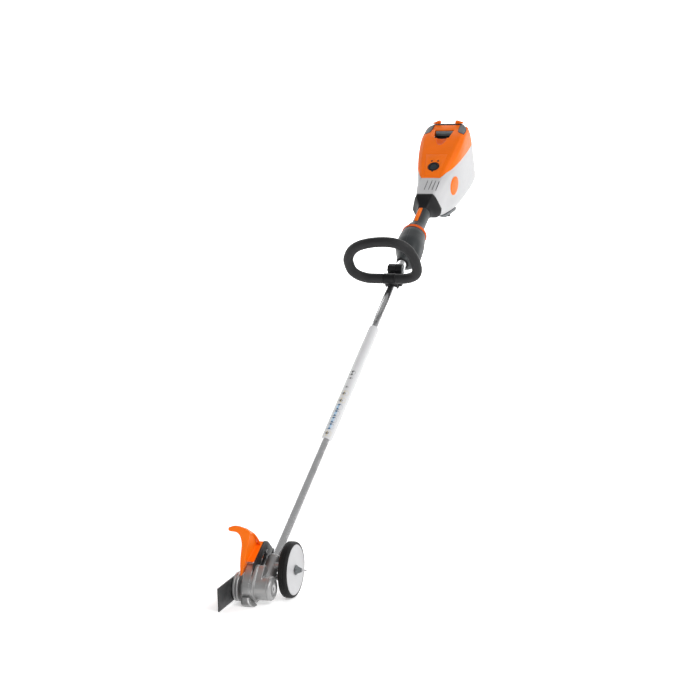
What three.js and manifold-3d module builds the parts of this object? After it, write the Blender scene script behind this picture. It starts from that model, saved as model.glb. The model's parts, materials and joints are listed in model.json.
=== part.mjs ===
// A battery stick edger for lawn and paving edges: a straight aluminium shaft with a bevel gear
// head, blade, guard, skid shoe and depth wheel at the low end, and a loop handle, motor,
// control grip and battery head at the high end.
// Millimetres. +X points from the blade towards the wheel, +Y back to the operator, +Z up.
// The origin is the middle of the skid shoe's sole.

import * as THREE from 'three';
import { mergeVertices } from 'three/addons/utils/BufferGeometryUtils.js';
import Module from 'manifold-3d';

const wasm = await Module();
wasm.setup();

// Driving dimensions
const LEAN = 31.5 * Math.PI / 180;       // shaft above the ground
const AXIS_HEIGHT = 33;                  // blade axis above the ground
const SKID = { left: -29, right: -5, front: -39, back: -14, bolt: [-23.5, -22] };   // sole, from the blade axis
const SOLE = { x: (SKID.left + SKID.right) / 2, y: (SKID.front + SKID.back) / 2 };
const GAP = 0.3;                         // clearance between neighbouring pieces
const TUBE = { radius: 12.7, bore: 11.1, low: 46, high: 1232 };
const DRIVE_ROD = { radius: 3.5, low: 24.5, high: 1246, bushes: [300, 900], bushLength: 14 };
const SOCKET = { radius: 15.6, mouth: 90 };
const FLANGE = { radius: 31, earRadius: 14, ear: [8, 33], earBolt: [24.1, 23.9] };
const HOUSING = { radius: 25.5, left: -17, right: 16.7, cavity: 20.6 };
const COVER = { left: -36, right: -20, spigot: 28 };
const BOSSES = { spots: [[60, 8], [45, -10]], radius: 7, left: 10, right: 21.7 };   // along and above the shaft
const BEARINGS = {
  cap: { outer: 13, bore: 6.3, low: 10.2, high: 16.7 },
  output: { outer: 16, bore: 7.8, low: -34.6, high: -24.3 },
  pinion: { outer: 10.3, bore: 3.9, low: 25.2, high: 33 },
};
const ARBOR = { radius: 6, hole: 6.3, low: -72, high: 16.4 };
const BLADE = { length: 200, width: 50, thickness: 2.8, x: -59.8, droop: 4.5 * Math.PI / 180 };
const GUARD = { wall: [-44.4, -41.2], beam: [-42.8, -20.2], front: -14, bolt: [65.5, 63.8] };
const WHEEL = { y: 70, z: 60, radius: 60, rimRadius: 54, inner: 28.3, outer: 48.4 };
const WHEEL_TRAVEL = 25;
const BRACKET = { left: 22, right: 24.6, end: 12, slot: 4.4 };
const LOOP = { s: 1094, n: 26.4, radius: 13, core: 8.5 };
const CLAMP = { s: 1138, n: 28.5, bolt: 3.6, strapLow: 18, strapScrews: [-19, 19] };
const KNOB = { tip: 14.4, root: 11.7, left: -15, right: 5 };
const MOTOR = { low: 1208, high: 1335, shell: 3 };
const RING = { low: 1335.3, high: 1344, radius: 34, bore: 30 };
const GRIP = { low: 1344.6, half: 17.5, shell: 2.6 };
const TRIGGER = { half: 5.4, slotHalf: 6, slotLow: 1372, slotHigh: 1428 };
const LEVER = { left: -7.9, right: 1.9, slot: [-8.3, 2.3], slotLow: 1382.4, slotHigh: 1444.6 };
const COLLAR = { low: 1446, high: 1488, bore: 8.5 };
const HEAD = { low: 1488.4, high: 1806, shell: 3, hoodFront: 1556, hoodHeight: 46, hoodSlope: 0.176 };
const PANEL = { y: 1600, z: 56.8, slope: 0.236, button: 14.2, lamp: 1.9 };   // button centre on the hood
const CAP = { low: 56, high: 77.5, pocket: 1.2, shoulder: 66, side: 51.4, back: 1799 };
const LATCH = { low: 1783, high: 1793 };
const FOOT = { low: 1532, high: 1632, open: 1618, openHalf: 18 };
const TEETH = { gear: 20, pinion: 9 };

// Guard's hood: angle above the blade axis from the back, crest radius, fall towards the shaft
const GUARD_CREST = [[97, 130, 11], [88, 127, 12], [78, 121.5, 14.5], [70, 117, 16], [62, 113.5, 17],
  [54, 112.5, 18]];

// Loop handle's centre line: across the shaft, and height before it is scaled onto the shaft
const LOOP_ROUTE = [[-16, 0.4], [-46, 0.6], [-62, 2.6], [-82, 11], [-96, 26], [-101, 46], [-101, 66], [-93, 86],
  [-80, 102], [-60, 114], [-34, 121.6], [-6, 125], [18, 124.2], [36, 119.6], [53, 109.6], [66, 92], [74.6, 66],
  [77.4, 36], [71, 16], [57, 5.6], [40, 1.2], [16, 0.4]];

// Motor housing and grip: station along the shaft, half width, top, bottom, squareness, x offset
const MOTOR_STATIONS = [[MOTOR.low, 16, 15.6, -19, 2, 1], [1220, 22, 18.6, -30, 2.2, 3],
  [1238, 28, 23, -38, 2.4, 5], [1262, 34.5, 30, -42, 2.4, 3], [1290, 37, 34.5, -40, 2.2, 1],
  [1318, 35, 34.5, -36, 2.1, 0], [MOTOR.high, 32.5, 32.5, -32.5, 2, 0]];
const MOTOR_VENTS = { stations: [1284, 1294, 1304], length: 4, low: -22, high: -2 };
const GRIP_STATIONS = [[GRIP.low, 28, 28, -29, 2], [1352, 24, 26, -27, 2.3], [1366, 19.5, 21, -22, 2.3],
  [1384, GRIP.half, 18.5, -20, 2.3], [1430, GRIP.half, 19, -20, 2.3], [COLLAR.low - GAP, 18, 20, -20.5, 2.3]];

// Collar: half sections at the head and at the grip, and how far each station has changed into the first
const COLLAR_FLANGE = [[22.5, 38], [30, 26], [41, -9], [37, -25], [25, -35.5]];
const COLLAR_NECK = [[11, 19], [16, 13], [18.6, -1], [16.5, -13], [10, -20]];
const COLLAR_STATIONS = [[COLLAR.low, 0], [1458, 0.1], [1468, 0.38], [1476, 0.78], [1482, 1], [COLLAR.high, 1]];

// Battery head: station, crown, top edge, shoulder, side top, side, side bottom, bottom edge
const HEAD_STATIONS = [
  [HEAD.low, 37.5, [21, 37], [26, 33], [30, 20], [35, -8], [34, -26], [25, -37]],
  [1558, 46.5, [26, 46], [33, 43], [40, 30], [43, 0], [41, -50], [30, -70]],
  [1624, 62, [39, 61], [49, 55], [54, 40], [55, 0], [51, -70], [38, -92]],
  [1680, 73.5, [46, 72.5], [59, 64], [62, 46], [61, 0], [56, -84], [42, -103]],
  [1735, 80.5, [52, 79.5], [63, 71], [64, 50], [62, 0], [58, -93], [45, -112]],
  [1778, 80, [50, 79], [62, 71], [63.5, 50], [62, 0], [58.5, -98], [47, -117]],
  [1798, 78, [40, 77], [54, 67], [60, 46], [61, 0], [58, -99], [47, -118]],
  [HEAD.high, 74, [35, 73], [49, 62], [56, 42], [57.5, 0], [54, -94], [43, -112]],
];
const HEAD_VENTS = { count: 4, left: -17, pitch: 9, width: 3, low: 1515, high: 1545 };

// Half outlines from above: battery cap, control panel, window in front of the cap
const CAP_OUTLINE = [[50, 1762.6], [CAP.side, 1768], [49, 1784], [42, 1794], [34, CAP.back]];
const PANEL_OUTLINE = [[21, 1565], [30, 1648]];
const WINDOW = [[-30, 1762], [28, 1762], [22, 1733], [-24, 1733]];

const UP = new THREE.Vector3(0, 0, 1);

// Colours and finishes
const finish = (color, roughness, metalness) =>
  new THREE.MeshStandardMaterial({ color, roughness, metalness });
const aluminium = () => finish(0xb9bbbd, 0.35, 0.9);
const castMetal = () => finish(0x9a9c9e, 0.5, 0.8);
const steel = () => finish(0x8d9093, 0.35, 1);
const darkSteel = () => finish(0x34373a, 0.45, 0.8);
const orange = () => finish(0xf57c0a, 0.45, 0);
const white = () => finish(0xdfe1e2, 0.45, 0);
const charcoal = () => finish(0x33373a, 0.55, 0);
const black = () => finish(0x17181a, 0.7, 0);
const rubber = () => finish(0x222325, 0.85, 0);
const grey = () => finish(0x8b8f92, 0.6, 0);
const copper = () => finish(0xa8602c, 0.4, 0.9);

// Groups: `ground` has its origin under the blade axis, `shaft` runs its y along the shaft
// from the blade axis, with x across and z above the shaft.
const tool = new THREE.Group();
const ground = new THREE.Group();
ground.position.set(-SOLE.x, -SOLE.y, 0);
tool.add(ground);
const shaft = new THREE.Group();
shaft.position.z = AXIS_HEIGHT;
shaft.rotation.x = LEAN;
ground.add(shaft);
const bladeGroup = new THREE.Group();
bladeGroup.position.z = AXIS_HEIGHT;
bladeGroup.rotation.x = BLADE.droop;
ground.add(bladeGroup);

// `level` is square to the ground with its origin on the blade axis
const level = new THREE.Group();
level.position.z = AXIS_HEIGHT;
ground.add(level);

function piece(group, name, geometry, material) {
  const mesh = new THREE.Mesh(closed(geometry), material);
  mesh.name = name;
  group.add(mesh);
  return mesh;
}

// One closed, outward facing surface with shared vertices
function closed(geometry) {
  const bare = geometry.clone();
  bare.deleteAttribute('normal');
  bare.deleteAttribute('uv');
  const merged = mergeVertices(bare, 1e-4);
  const point = merged.attributes.position;
  const source = merged.index.array;
  const kept = [];
  let volume = 0;
  const [a, b, c] = [new THREE.Vector3(), new THREE.Vector3(), new THREE.Vector3()];
  for (let i = 0; i < source.length; i += 3) {
    const [p, q, r] = [source[i], source[i + 1], source[i + 2]];
    if (p === q || q === r || r === p) continue;
    kept.push(p, q, r);
    volume += a.fromBufferAttribute(point, p).dot(
      b.fromBufferAttribute(point, q).cross(c.fromBufferAttribute(point, r)));
  }
  if (volume < 0) {
    for (let i = 0; i < kept.length; i += 3) {
      [kept[i + 1], kept[i + 2]] = [kept[i + 2], kept[i + 1]];
    }
  }
  merged.setIndex(kept);
  return merged;
}

function toManifold(geometry) {
  const body = closed(geometry);
  return new wasm.Manifold(new wasm.Mesh({
    numProp: 3,
    vertProperties: new Float32Array(body.attributes.position.array),
    triVerts: new Uint32Array(body.index.array),
  }));
}

function toGeometry(manifold) {
  const mesh = manifold.getMesh();
  const geometry = new THREE.BufferGeometry();
  geometry.setAttribute('position', new THREE.BufferAttribute(new Float32Array(mesh.vertProperties), 3));
  geometry.setIndex(Array.from(mesh.triVerts));
  return geometry;
}

const join = (first, ...rest) =>
  toGeometry(rest.reduce((sum, g) => sum.add(toManifold(g)), toManifold(first)));
const cut = (first, ...rest) =>
  toGeometry(rest.reduce((sum, g) => sum.subtract(toManifold(g)), toManifold(first)));
const common = (first, second) => toGeometry(toManifold(first).intersect(toManifold(second)));

// Basis that lays a shape's own x, y and depth along the named axis: depth runs along `axis`
function basis(axis) {
  const [x, y, z] = [new THREE.Vector3(1, 0, 0), new THREE.Vector3(0, 1, 0), UP.clone()];
  const matrix = new THREE.Matrix4();
  if (axis === 'x') return matrix.makeBasis(y, z, x);
  if (axis === 'y') return matrix.makeBasis(x, z, y);
  return matrix;
}

// A flat outline (points across the axis) drawn out along an axis
function prism(outline, axis, from, to, holes = []) {
  const shape = new THREE.Shape(outline.map(([u, v]) => new THREE.Vector2(u, v)));
  for (const hole of holes) {
    shape.holes.push(new THREE.Path(hole.map(([u, v]) => new THREE.Vector2(u, v))));
  }
  const geometry = new THREE.ExtrudeGeometry(shape, { depth: to - from, bevelEnabled: false, steps: 1 });
  geometry.translate(0, 0, from);
  return geometry.applyMatrix4(basis(axis));
}

const polar = (radius, degrees) => {
  const angle = degrees * Math.PI / 180;
  return [radius * Math.cos(angle), radius * Math.sin(angle)];
};

const circle = (u, v, radius, count = 16, turn = 0) => Array.from({ length: count }, (_, i) => {
  const angle = turn + i * 2 * Math.PI / count;
  return [u + radius * Math.cos(angle), v + radius * Math.sin(angle)];
});

// Outline round several circles, as a band pulled tight about them
function hull(...circles) {
  const points = circles.flatMap(([u, v, r]) => circle(u, v, r, 24));
  points.sort((p, q) => p[0] - q[0] || p[1] - q[1]);
  const half = (list) => {
    const line = [];
    for (const p of list) {
      while (line.length > 1) {
        const [o, m] = line.slice(-2);
        if ((m[0] - o[0]) * (p[1] - o[1]) - (m[1] - o[1]) * (p[0] - o[0]) > 1e-6) break;
        line.pop();
      }
      line.push(p);
    }
    return line.slice(0, -1);
  };
  return [...half(points), ...half(points.reverse())];
}

const rod = (axis, radius, from, to, [u, v] = [0, 0], count = 16) =>
  prism(circle(u, v, radius, count, Math.PI / count), axis, from, to);

const pipe = (axis, outer, inner, from, to, [u, v] = [0, 0], count = 16) =>
  prism(circle(u, v, outer, count), axis, from, to, [circle(u, v, inner, count)]);

// A turned piece: profile points are [position along the axis, radius], closed on the axis
function turned(axis, profile, [u, v] = [0, 0], count = 24) {
  const points = profile.map(([along, radius]) => new THREE.Vector2(radius, along));
  const geometry = new THREE.LatheGeometry(points, count);
  if (axis === 'x') return geometry.applyMatrix4(basis('x').multiply(basis('y'))).translate(0, u, v);
  if (axis === 'y') return geometry.translate(u, 0, v);
  return geometry.applyMatrix4(basis('y')).translate(u, v, 0);
}

const block = ([x0, y0, z0], [x1, y1, z1]) =>
  new THREE.BoxGeometry(x1 - x0, y1 - y0, z1 - z0).translate((x0 + x1) / 2, (y0 + y1) / 2, (z0 + z1) / 2);

// A skin through a row of outlines with equal counts, capped flat at both ends
function loft(rings) {
  const count = rings[0].length;
  const positions = rings.flat(2);
  const index = [];
  for (let k = 0; k + 1 < rings.length; k += 1) {
    for (let i = 0; i < count; i += 1) {
      const [a, b] = [k * count + i, k * count + (i + 1) % count];
      index.push(a, b, b + count, a, b + count, a + count);
    }
  }
  for (const [start, flip] of [[0, true], [(rings.length - 1) * count, false]]) {
    const middle = [0, 1, 2].map((axis) => {
      const ring = rings[start / count];
      return ring.reduce((sum, p) => sum + p[axis], 0) / count;
    });
    const hub = positions.length / 3;
    positions.push(...middle);
    for (let i = 0; i < count; i += 1) {
      const [a, b] = [start + i, start + (i + 1) % count];
      index.push(...(flip ? [b, a, hub] : [a, b, hub]));
    }
  }
  const geometry = new THREE.BufferGeometry();
  geometry.setAttribute('position', new THREE.Float32BufferAttribute(positions, 3));
  geometry.setIndex(index);
  return geometry;
}

// An oval section across the shaft: half width, top and bottom, squared off by `power`
function oval(y, half, top, bottom, power = 2, count = 24, x = 0) {
  const middle = (top + bottom) / 2;
  return Array.from({ length: count }, (_, i) => {
    const angle = (i + 0.5) * 2 * Math.PI / count;
    const round = (value) => Math.sign(value) * Math.abs(value) ** (2 / power);
    return [x + half * round(Math.cos(angle)), y, middle + (top - bottom) / 2 * round(Math.sin(angle))];
  });
}

// A mirrored section: half-profile points [x, z] from the top down, at station y
const mirrored = (y, half) => [
  ...half.map(([x, z]) => [x, y, z]),
  ...half.toReversed().map(([x, z]) => [-x, y, z]),
];

const leftOf = (geometry, x = -GAP / 2) => common(geometry, block([-300, 0, -300], [x, 2200, 300]));
const rightOf = (geometry, x = GAP / 2) => common(geometry, block([x, 0, -300], [300, 2200, 300]));

// Outline of a wheel with teeth, lobes or fan blades
const toothed = (root, tip, teeth, u = 0, v = 0) => Array.from({ length: teeth * 4 }, (_, i) => {
  const angle = (i - 0.5) * Math.PI / (2 * teeth);
  const radius = i % 4 < 2 ? tip : root;
  return [u + radius * Math.cos(angle), v + radius * Math.sin(angle)];
});

function bevelGear(axis, teeth, near, far) {
  const ring = ([along, root, tip]) =>
    toothed(root, tip, teeth).map(([u, v]) => (axis === 'x' ? [along, u, v] : [u, along, v]));
  return loft([ring(near), ring(far)]);
}

// ---- shaft ----
function addShaft() {
  const { radius, low, high, bushes, bushLength } = DRIVE_ROD;
  piece(shaft, 'drive_tube', pipe('y', TUBE.radius, TUBE.bore, TUBE.low, TUBE.high, [0, 0], 24), aluminium());
  piece(shaft, 'drive_rod', rod('y', radius, low, high, [0, 0], 8), steel());
  bushes.forEach((y, i) => {
    piece(shaft, `rod_bush_${i + 1}`, pipe('y', TUBE.bore - GAP, radius + 0.5, y, y + bushLength), black());
  });
}

// ---- gear head ----
function earOutline(grow = 0) {
  const [y, z] = FLANGE.ear;
  const [s, n] = [y * Math.cos(LEAN) + z * Math.sin(LEAN), z * Math.cos(LEAN) - y * Math.sin(LEAN)];
  return hull([0, 0, FLANGE.radius + grow], [s, n, FLANGE.earRadius + grow]);
}

function addGearHead() {
  const [earS, earN] = FLANGE.earBolt;
  const casting = join(
    rod('x', HOUSING.radius, HOUSING.left, HOUSING.right, [0, 0], 36),
    prism(earOutline(), 'x', HOUSING.left, -11),
    prism(hull([0, 0, HOUSING.radius - 0.4], [earS + 2, earN - 1, 12.5]), 'x', -12, 3),
    turned('y', [[8, 0], [8, 16.5], [30, 16.5], [40, SOCKET.radius], [SOCKET.mouth - 1.5, SOCKET.radius],
      [SOCKET.mouth, SOCKET.radius - 1.5], [SOCKET.mouth, 0]], [0, 0], 28),
    ...BOSSES.spots.map((spotAt) => rod('x', BOSSES.radius, BOSSES.left, BOSSES.right, spotAt)));
  const housing = cut(casting,
    rod('x', HOUSING.cavity, HOUSING.left - 1, HOUSING.right + 1, [0, 0], 24),
    rod('y', 13, TUBE.low - 1, SOCKET.mouth + 6, [0, 0], 24),
    rod('y', 10.6, 12, TUBE.low, [0, 0], 16),
    rod('x', 2.9, HOUSING.left - 1, -7.6, [earS, earN], 8),
    ...BOSSES.spots.map((spotAt) => rod('x', 2.4, 16, BOSSES.right + GAP, spotAt, 8)));
  piece(shaft, 'gear_housing', housing, castMetal());

  const cover = join(
    prism(earOutline(), 'x', COVER.left, COVER.right),
    rod('x', COVER.spigot, COVER.right - 1, HOUSING.left - GAP, [0, 0], 24));
  const skidBoltHole = rod('z', 2.3, -40, 20, SKID.bolt, 8).applyMatrix4(
    new THREE.Matrix4().makeRotationX(-LEAN));
  piece(shaft, 'housing_cover', cut(cover,
    rod('x', BEARINGS.output.outer + GAP, COVER.left - 1, -24, [0, 0], 20),
    rod('x', 13, -25, -16, [0, 0], 20),
    rod('x', 2.9, COVER.left - 1, -10, [earS, earN], 8),
    rod('x', 5.6, COVER.left - 1, -32.4, [earS, earN], 12),
    skidBoltHole), castMetal());

  piece(shaft, 'gear_cap', cut(
    turned('x', [[10, 0], [10, 20.2], [17, 20.2], [17, 25.5], [22.6, 25.5], [25, 22.5], [25.2, 0]], [0, 0], 36),
    rod('x', BEARINGS.cap.outer + GAP, 9, 17, [0, 0], 20)), castMetal());
  const bearing = (axis, { outer, bore, low, high }, count) =>
    pipe(axis, outer, bore, low, high, [0, 0], count);
  piece(shaft, 'cap_bearing', bearing('x', BEARINGS.cap, 20), steel());
  piece(shaft, 'output_bearing', bearing('x', BEARINGS.output, 20), steel());
  piece(shaft, 'pinion_bearing', bearing('y', BEARINGS.pinion, 16), steel());
  piece(shaft, 'pinion', cut(bevelGear('y', TEETH.pinion, [12.5, 3.6, 5.2], [23.5, 6.2, 8.6]),
    rod('y', 3.2, 22, 24, [0, 0], 8)), steel());
  piece(shaft, 'ear_bolt', join(rod('x', 5, -35.6, -32.7, [earS, earN], 6),
    rod('x', 2.5, -33, -9, [earS, earN], 8)), steel());
}

// ---- blade set: turns about the blade axis ----
function addBladeSet() {
  const { radius, hole, low, high } = ARBOR;
  const bored = (geometry, left, right) => cut(geometry, rod('x', hole, left, right));
  const output = turned('x', [[low, 0], [low, radius - 0.5], [low + 4, radius], [-36.5, radius], [-36.5, 7.5],
    [-24, 7.5], [-24, radius], [high, radius], [high, 0]], [0, 0], 16);
  piece(bladeGroup, 'output_shaft', output, steel());
  const gear = bevelGear('x', TEETH.gear, [-16.5, 13.4, 18.9], [-9.5, 10.8, 16.2]);
  piece(bladeGroup, 'bevel_gear', bored(gear, -18, -8), steel());
  const flange = turned('x', [[-51.6, 0], [-51.6, 29], [-50, FLANGE.radius], [-46.6, FLANGE.radius],
    [-45.3, 29.6], [-45.3, 14], [-37.2, 12], [-37.2, 0]], [0, 0], 32);
  piece(bladeGroup, 'drive_flange', bored(flange, -53, -36), castMetal());
  const washer = turned('x', [[-58, 0], [-58, 29], [-56.6, FLANGE.radius], [-53.2, FLANGE.radius],
    [-51.9, 29.4], [-51.9, 0]], [0, 0], 32);
  piece(bladeGroup, 'thrust_washer', bored(washer, -59, -51), castMetal());
  const half = BLADE.length / 2;
  const side = BLADE.width / 2;
  const outline = [[-half, -side], [half, -side], [half, side], [-half, side]];
  const faces = [BLADE.x - BLADE.thickness / 2, BLADE.x + BLADE.thickness / 2];
  const arborHole = circle(0, 0, hole + 0.1, 16);
  piece(bladeGroup, 'blade', prism(outline, 'x', ...faces, [arborHole]), darkSteel());
  piece(bladeGroup, 'outer_washer', pipe('x', 21, hole, -64, -61.6, [0, 0], 24), steel());
  piece(bladeGroup, 'arbor_nut', prism(circle(0, 0, 11, 6), 'x', -71.4, -64.4, [arborHole]), steel());
}

// ---- guard over the top of the blade, with its bracket ----
// Leans the guard's wall, and the end of its beam, towards the shaft as they rise
function leanIn(geometry, innermost) {
  const spot = geometry.attributes.position;
  for (let i = 0; i < spot.count; i += 1) {
    if (spot.getX(i) <= innermost) {
      spot.setX(i, spot.getX(i) + 0.21 * (spot.getZ(i) - 28));
    }
  }
  return geometry;
}

function addGuard() {
  const wall = [[GUARD.front, 25.6], [6, 32.5], [24.5, 40.5], [52, 42], [74, 56], [70, 72],
    ...GUARD_CREST.toReversed().slice(0, -1).map(([angle, crest, fall]) => polar(crest - fall - 2, angle)),
    [GUARD.front, 117]];
  const section = ([angle, crest, fall]) => [[-70, -5], [-70.6, -1.4], [-64, -0.4], [-52, 0],
    [-38, -fall * 0.25], [-21, -fall], [-22, -fall - 3.6], [-40, -fall * 0.3 - 4], [-56, -6]].map(
    ([x, drop]) => [x, ...polar(crest + drop, angle)]);
  const hood = loft(GUARD_CREST.map(section));
  const band = [[-41.4, 25.6], [-44.1, 26], [-44.6, 53], [-42.4, 76.8], [-40, 95], [-43.6, 110.7],
    [-48, 116], [-53, 119], [-68.2, 119.6], [-71.2, 124], [-66, 128.8], [-59, 132], [-48, 132],
    [-37.8, 129.5], [-28, 125.5], [-20.9, 120.4], [-22.4, 112], [-26, 96], [-29.6, 76.8], [-35.4, 50.7]];
  const beam = [[2, 53], [18, 50.4], [62, 50], [76, 60], [72, 83], [55, 87]];
  const shell = join(
    leanIn(prism(wall, 'x', ...GUARD.wall), GUARD.wall[1]), hood,
    prism(band, 'y', GUARD.front - 2.6, GUARD.front + 2),
    leanIn(prism(beam, 'x', ...GUARD.beam), GUARD.wall[1]));
  piece(level, 'guard', cut(shell, rod('x', 2.3, -34, -19, GUARD.bolt, 8)), orange());

  const plate = hull([0, 44, 8], [8, 33, 11], [61, 79, 8], [76, 76, 7], [104, 57, 6], [62, 48, 7]);
  const slot = hull([44, 50, 3], [56, 58, 3]);
  piece(level, 'guard_bracket', cut(prism(plate, 'x', -19.7, -17.3),
    prism(slot, 'x', -21, -16),
    rod('x', 2.9, -21, -16, FLANGE.ear, 8),
    rod('x', 29, -21, -16, [0, 0], 32),
    rod('x', 2.5, -21, -16, GUARD.bolt, 8)), darkSteel());
  piece(level, 'guard_bolt', join(rod('x', 4.6, -17, -13.6, GUARD.bolt, 8),
    rod('x', 2, -32, -16, GUARD.bolt, 8)), steel());
}

// ---- skid shoe under the front of the gear head ----
function addSkid() {
  const row = (z, x0, x1, y0, y1) => [[x0, y0, z], [x1, y0, z], [x1, y1, z], [x0, y1, z]];
  const shoe = loft([
    row(0, SKID.left, SKID.right, SKID.front, SKID.back), row(1.6, -32, -6.5, -41, -12),
    row(4.5, -34.5, -10.5, -41, -12), row(8.5, -35.6, -14.5, -39.5, -12),
    row(13, -36.4, -17, -37.5, -12), row(18, -36.6, -18, -36, -12)]);
  const fitted = cut(shoe,
    rod('x', FLANGE.radius + GAP, -60, -10.7, [0, AXIS_HEIGHT], 48),
    rod('x', HOUSING.radius + 1, -11, 30, [0, AXIS_HEIGHT], 36),
    rod('z', 2.3, -1, 20, SKID.bolt, 8), rod('z', 4.8, -1, 4.4, SKID.bolt, 12));
  piece(ground, 'skid_shoe', fitted, castMetal());
  const bolt = join(rod('z', 4.2, 1.2, 4.1, SKID.bolt, 8), rod('z', 2, 3, 17, SKID.bolt, 8));
  piece(ground, 'skid_bolt', bolt, steel());
}

// ---- depth wheel with its slotted bracket ----
function addWheel() {
  const { y, z } = WHEEL;
  const shaftSpot = (s, n) => [
    s * Math.cos(LEAN) - n * Math.sin(LEAN),
    AXIS_HEIGHT + s * Math.sin(LEAN) + n * Math.cos(LEAN)];
  const [lower, upper] = BOSSES.spots.map(([s, n]) => shaftSpot(s, n));
  const { left, right, end } = BRACKET;
  const outline = hull([...lower, 9], [...upper, 9], [y, z, end], [y, z + WHEEL_TRAVEL, end]);
  const slot = hull([y, z, BRACKET.slot], [y, z + WHEEL_TRAVEL, BRACKET.slot]);
  piece(ground, 'wheel_bracket', cut(prism(outline, 'x', left, right),
    prism(slot, 'x', left - 1, right + 1),
    ...[lower, upper].map((spotAt) => rod('x', 2.6, left - 1, right + 1, spotAt, 8))), darkSteel());
  piece(ground, 'axle_bolt', join(
    rod('x', 7, 16, left - GAP, [y, z], 6),
    rod('x', 4, 21, 58, [y, z], 12),
    rod('x', 1.9, 57, 73, [y, z], 8)), steel());
  const disc = join(
    turned('x', [[45.4, 0], [45.4, 30], [43, 40], [43, 50.5], [30, 51], [30, WHEEL.rimRadius],
      [WHEEL.outer - 1, WHEEL.rimRadius], [WHEEL.outer, WHEEL.rimRadius - 1.5], [WHEEL.outer, 47],
      [WHEEL.outer - 1.2, 44], [WHEEL.outer - 1.2, 0]], [y, z], 40),
    rod('x', 11, 26, 46, [y, z], 20));
  piece(ground, 'wheel_rim', cut(disc, rod('x', 4.3, 20, 60, [y, z], 12)), white());
  const seat = WHEEL.rimRadius + GAP;
  piece(ground, 'wheel_tyre', turned('x', [[WHEEL.inner, seat], [WHEEL.inner, 57], [31, WHEEL.radius],
    [45.4, WHEEL.radius], [WHEEL.outer - 0.4, 57.2], [WHEEL.outer - 0.4, seat], [WHEEL.inner, seat]],
  [y, z], 40), rubber());
  const cone = turned('x', [[48.8, 0], [48.8, 10.5], [51, 10.5], [51.6, 8.6], [61, 4.4], [62.4, 3.6],
    [62.4, 0]], [y, z], 20);
  piece(ground, 'wheel_nut', cut(join(cone, block([50, y - 13, z - 2], [55.5, y + 13, z + 2])),
    rod('x', 4.3, 47, 58.4, [y, z], 12), rod('x', 2.2, 57, 70, [y, z], 12)), grey());
}

// ---- loop handle, which slides along the shaft when its knob is loose ----
function alongLoop(section, holes = []) {
  const points = LOOP_ROUTE.map(([x, n]) => new THREE.Vector3(x, LOOP.s, LOOP.n + 3 + n * 0.9));
  const path = new THREE.CatmullRomCurve3(points, false, 'catmullrom', 0.5);
  const shape = new THREE.Shape(section.map(([u, v]) => new THREE.Vector2(u, v)));
  for (const hole of holes) {
    shape.holes.push(new THREE.Path(hole.map(([u, v]) => new THREE.Vector2(u, v))));
  }
  return new THREE.ExtrudeGeometry(shape, { steps: 38, bevelEnabled: false, extrudePath: path });
}

function addLoopHandle() {
  const foam = alongLoop(circle(0, 0, LOOP.radius, 12), [circle(0, 0, LOOP.core + GAP, 8)]);
  piece(shaft, 'loop_grip', foam, rubber());
  piece(shaft, 'loop_core', alongLoop(circle(0, 0, LOOP.core - 0.6, 8)), steel());
  const bar = rod('x', LOOP.radius + 0.8, -15.5, 15.5, [LOOP.s, LOOP.n + 3.4], 20);
  const saddle = join(bar,
    block([-15.4, LOOP.s - 13, 0.4], [15.4, CLAMP.s + 12, 13.8]),
    block([-12, LOOP.s - 10, 12], [12, LOOP.s + 10, 26]),
    block([5.4, CLAMP.s - 12, 0.4], [20, CLAMP.s + 12, 18]),
    rod('x', 14.4, 5.4, 24, [CLAMP.s, CLAMP.n], 20));
  const tubeHole = rod('y', TUBE.radius + GAP, 900, 1300, [0, 0], 24);
  piece(shaft, 'clamp_upper', cut(saddle, tubeHole,
    rod('x', 4, -30, 40, [CLAMP.s, CLAMP.n], 12)), black());
  const strapLow = LOOP.s + CLAMP.strapLow;
  const strap = cut(join(rod('y', 17.5, strapLow, CLAMP.s + 12, [0, 0], 24),
    block([-22, strapLow, -7], [22, strapLow + 20, -0.2])), tubeHole,
    block([-60, 1000, -0.2], [60, 1200, 60]),
    ...CLAMP.strapScrews.map((x) => rod('z', 1.9, -30, 30, [x, strapLow + 10], 8)));
  piece(shaft, 'clamp_lower', strap, black());
  const boltSpot = [CLAMP.s, CLAMP.n];
  piece(shaft, 'clamp_bolt', join(rod('x', 6.2, 24.3, 27.6, boltSpot, 6),
    rod('x', CLAMP.bolt, -10, 25, boltSpot, 12)), steel());
  const lobes = toothed(KNOB.root, KNOB.tip, 6, ...boltSpot);
  piece(shaft, 'clamp_knob', cut(prism(lobes, 'x', KNOB.left, KNOB.right),
    rod('x', CLAMP.bolt + GAP, -10.4, KNOB.right + 1, boltSpot, 12)), black());
}

// ---- motor ----
function motorSkin(inset) {
  const last = MOTOR_STATIONS.length - 1;
  return loft(MOTOR_STATIONS.map(([y, half, top, bottom, power, x], i) => {
    const nose = i < 2 ? inset : 0;
    const mouth = inset && i === last ? 5 : 0;
    return oval(y + nose + mouth, half - inset, top - inset, bottom + inset, power, 28, x);
  }));
}

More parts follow.
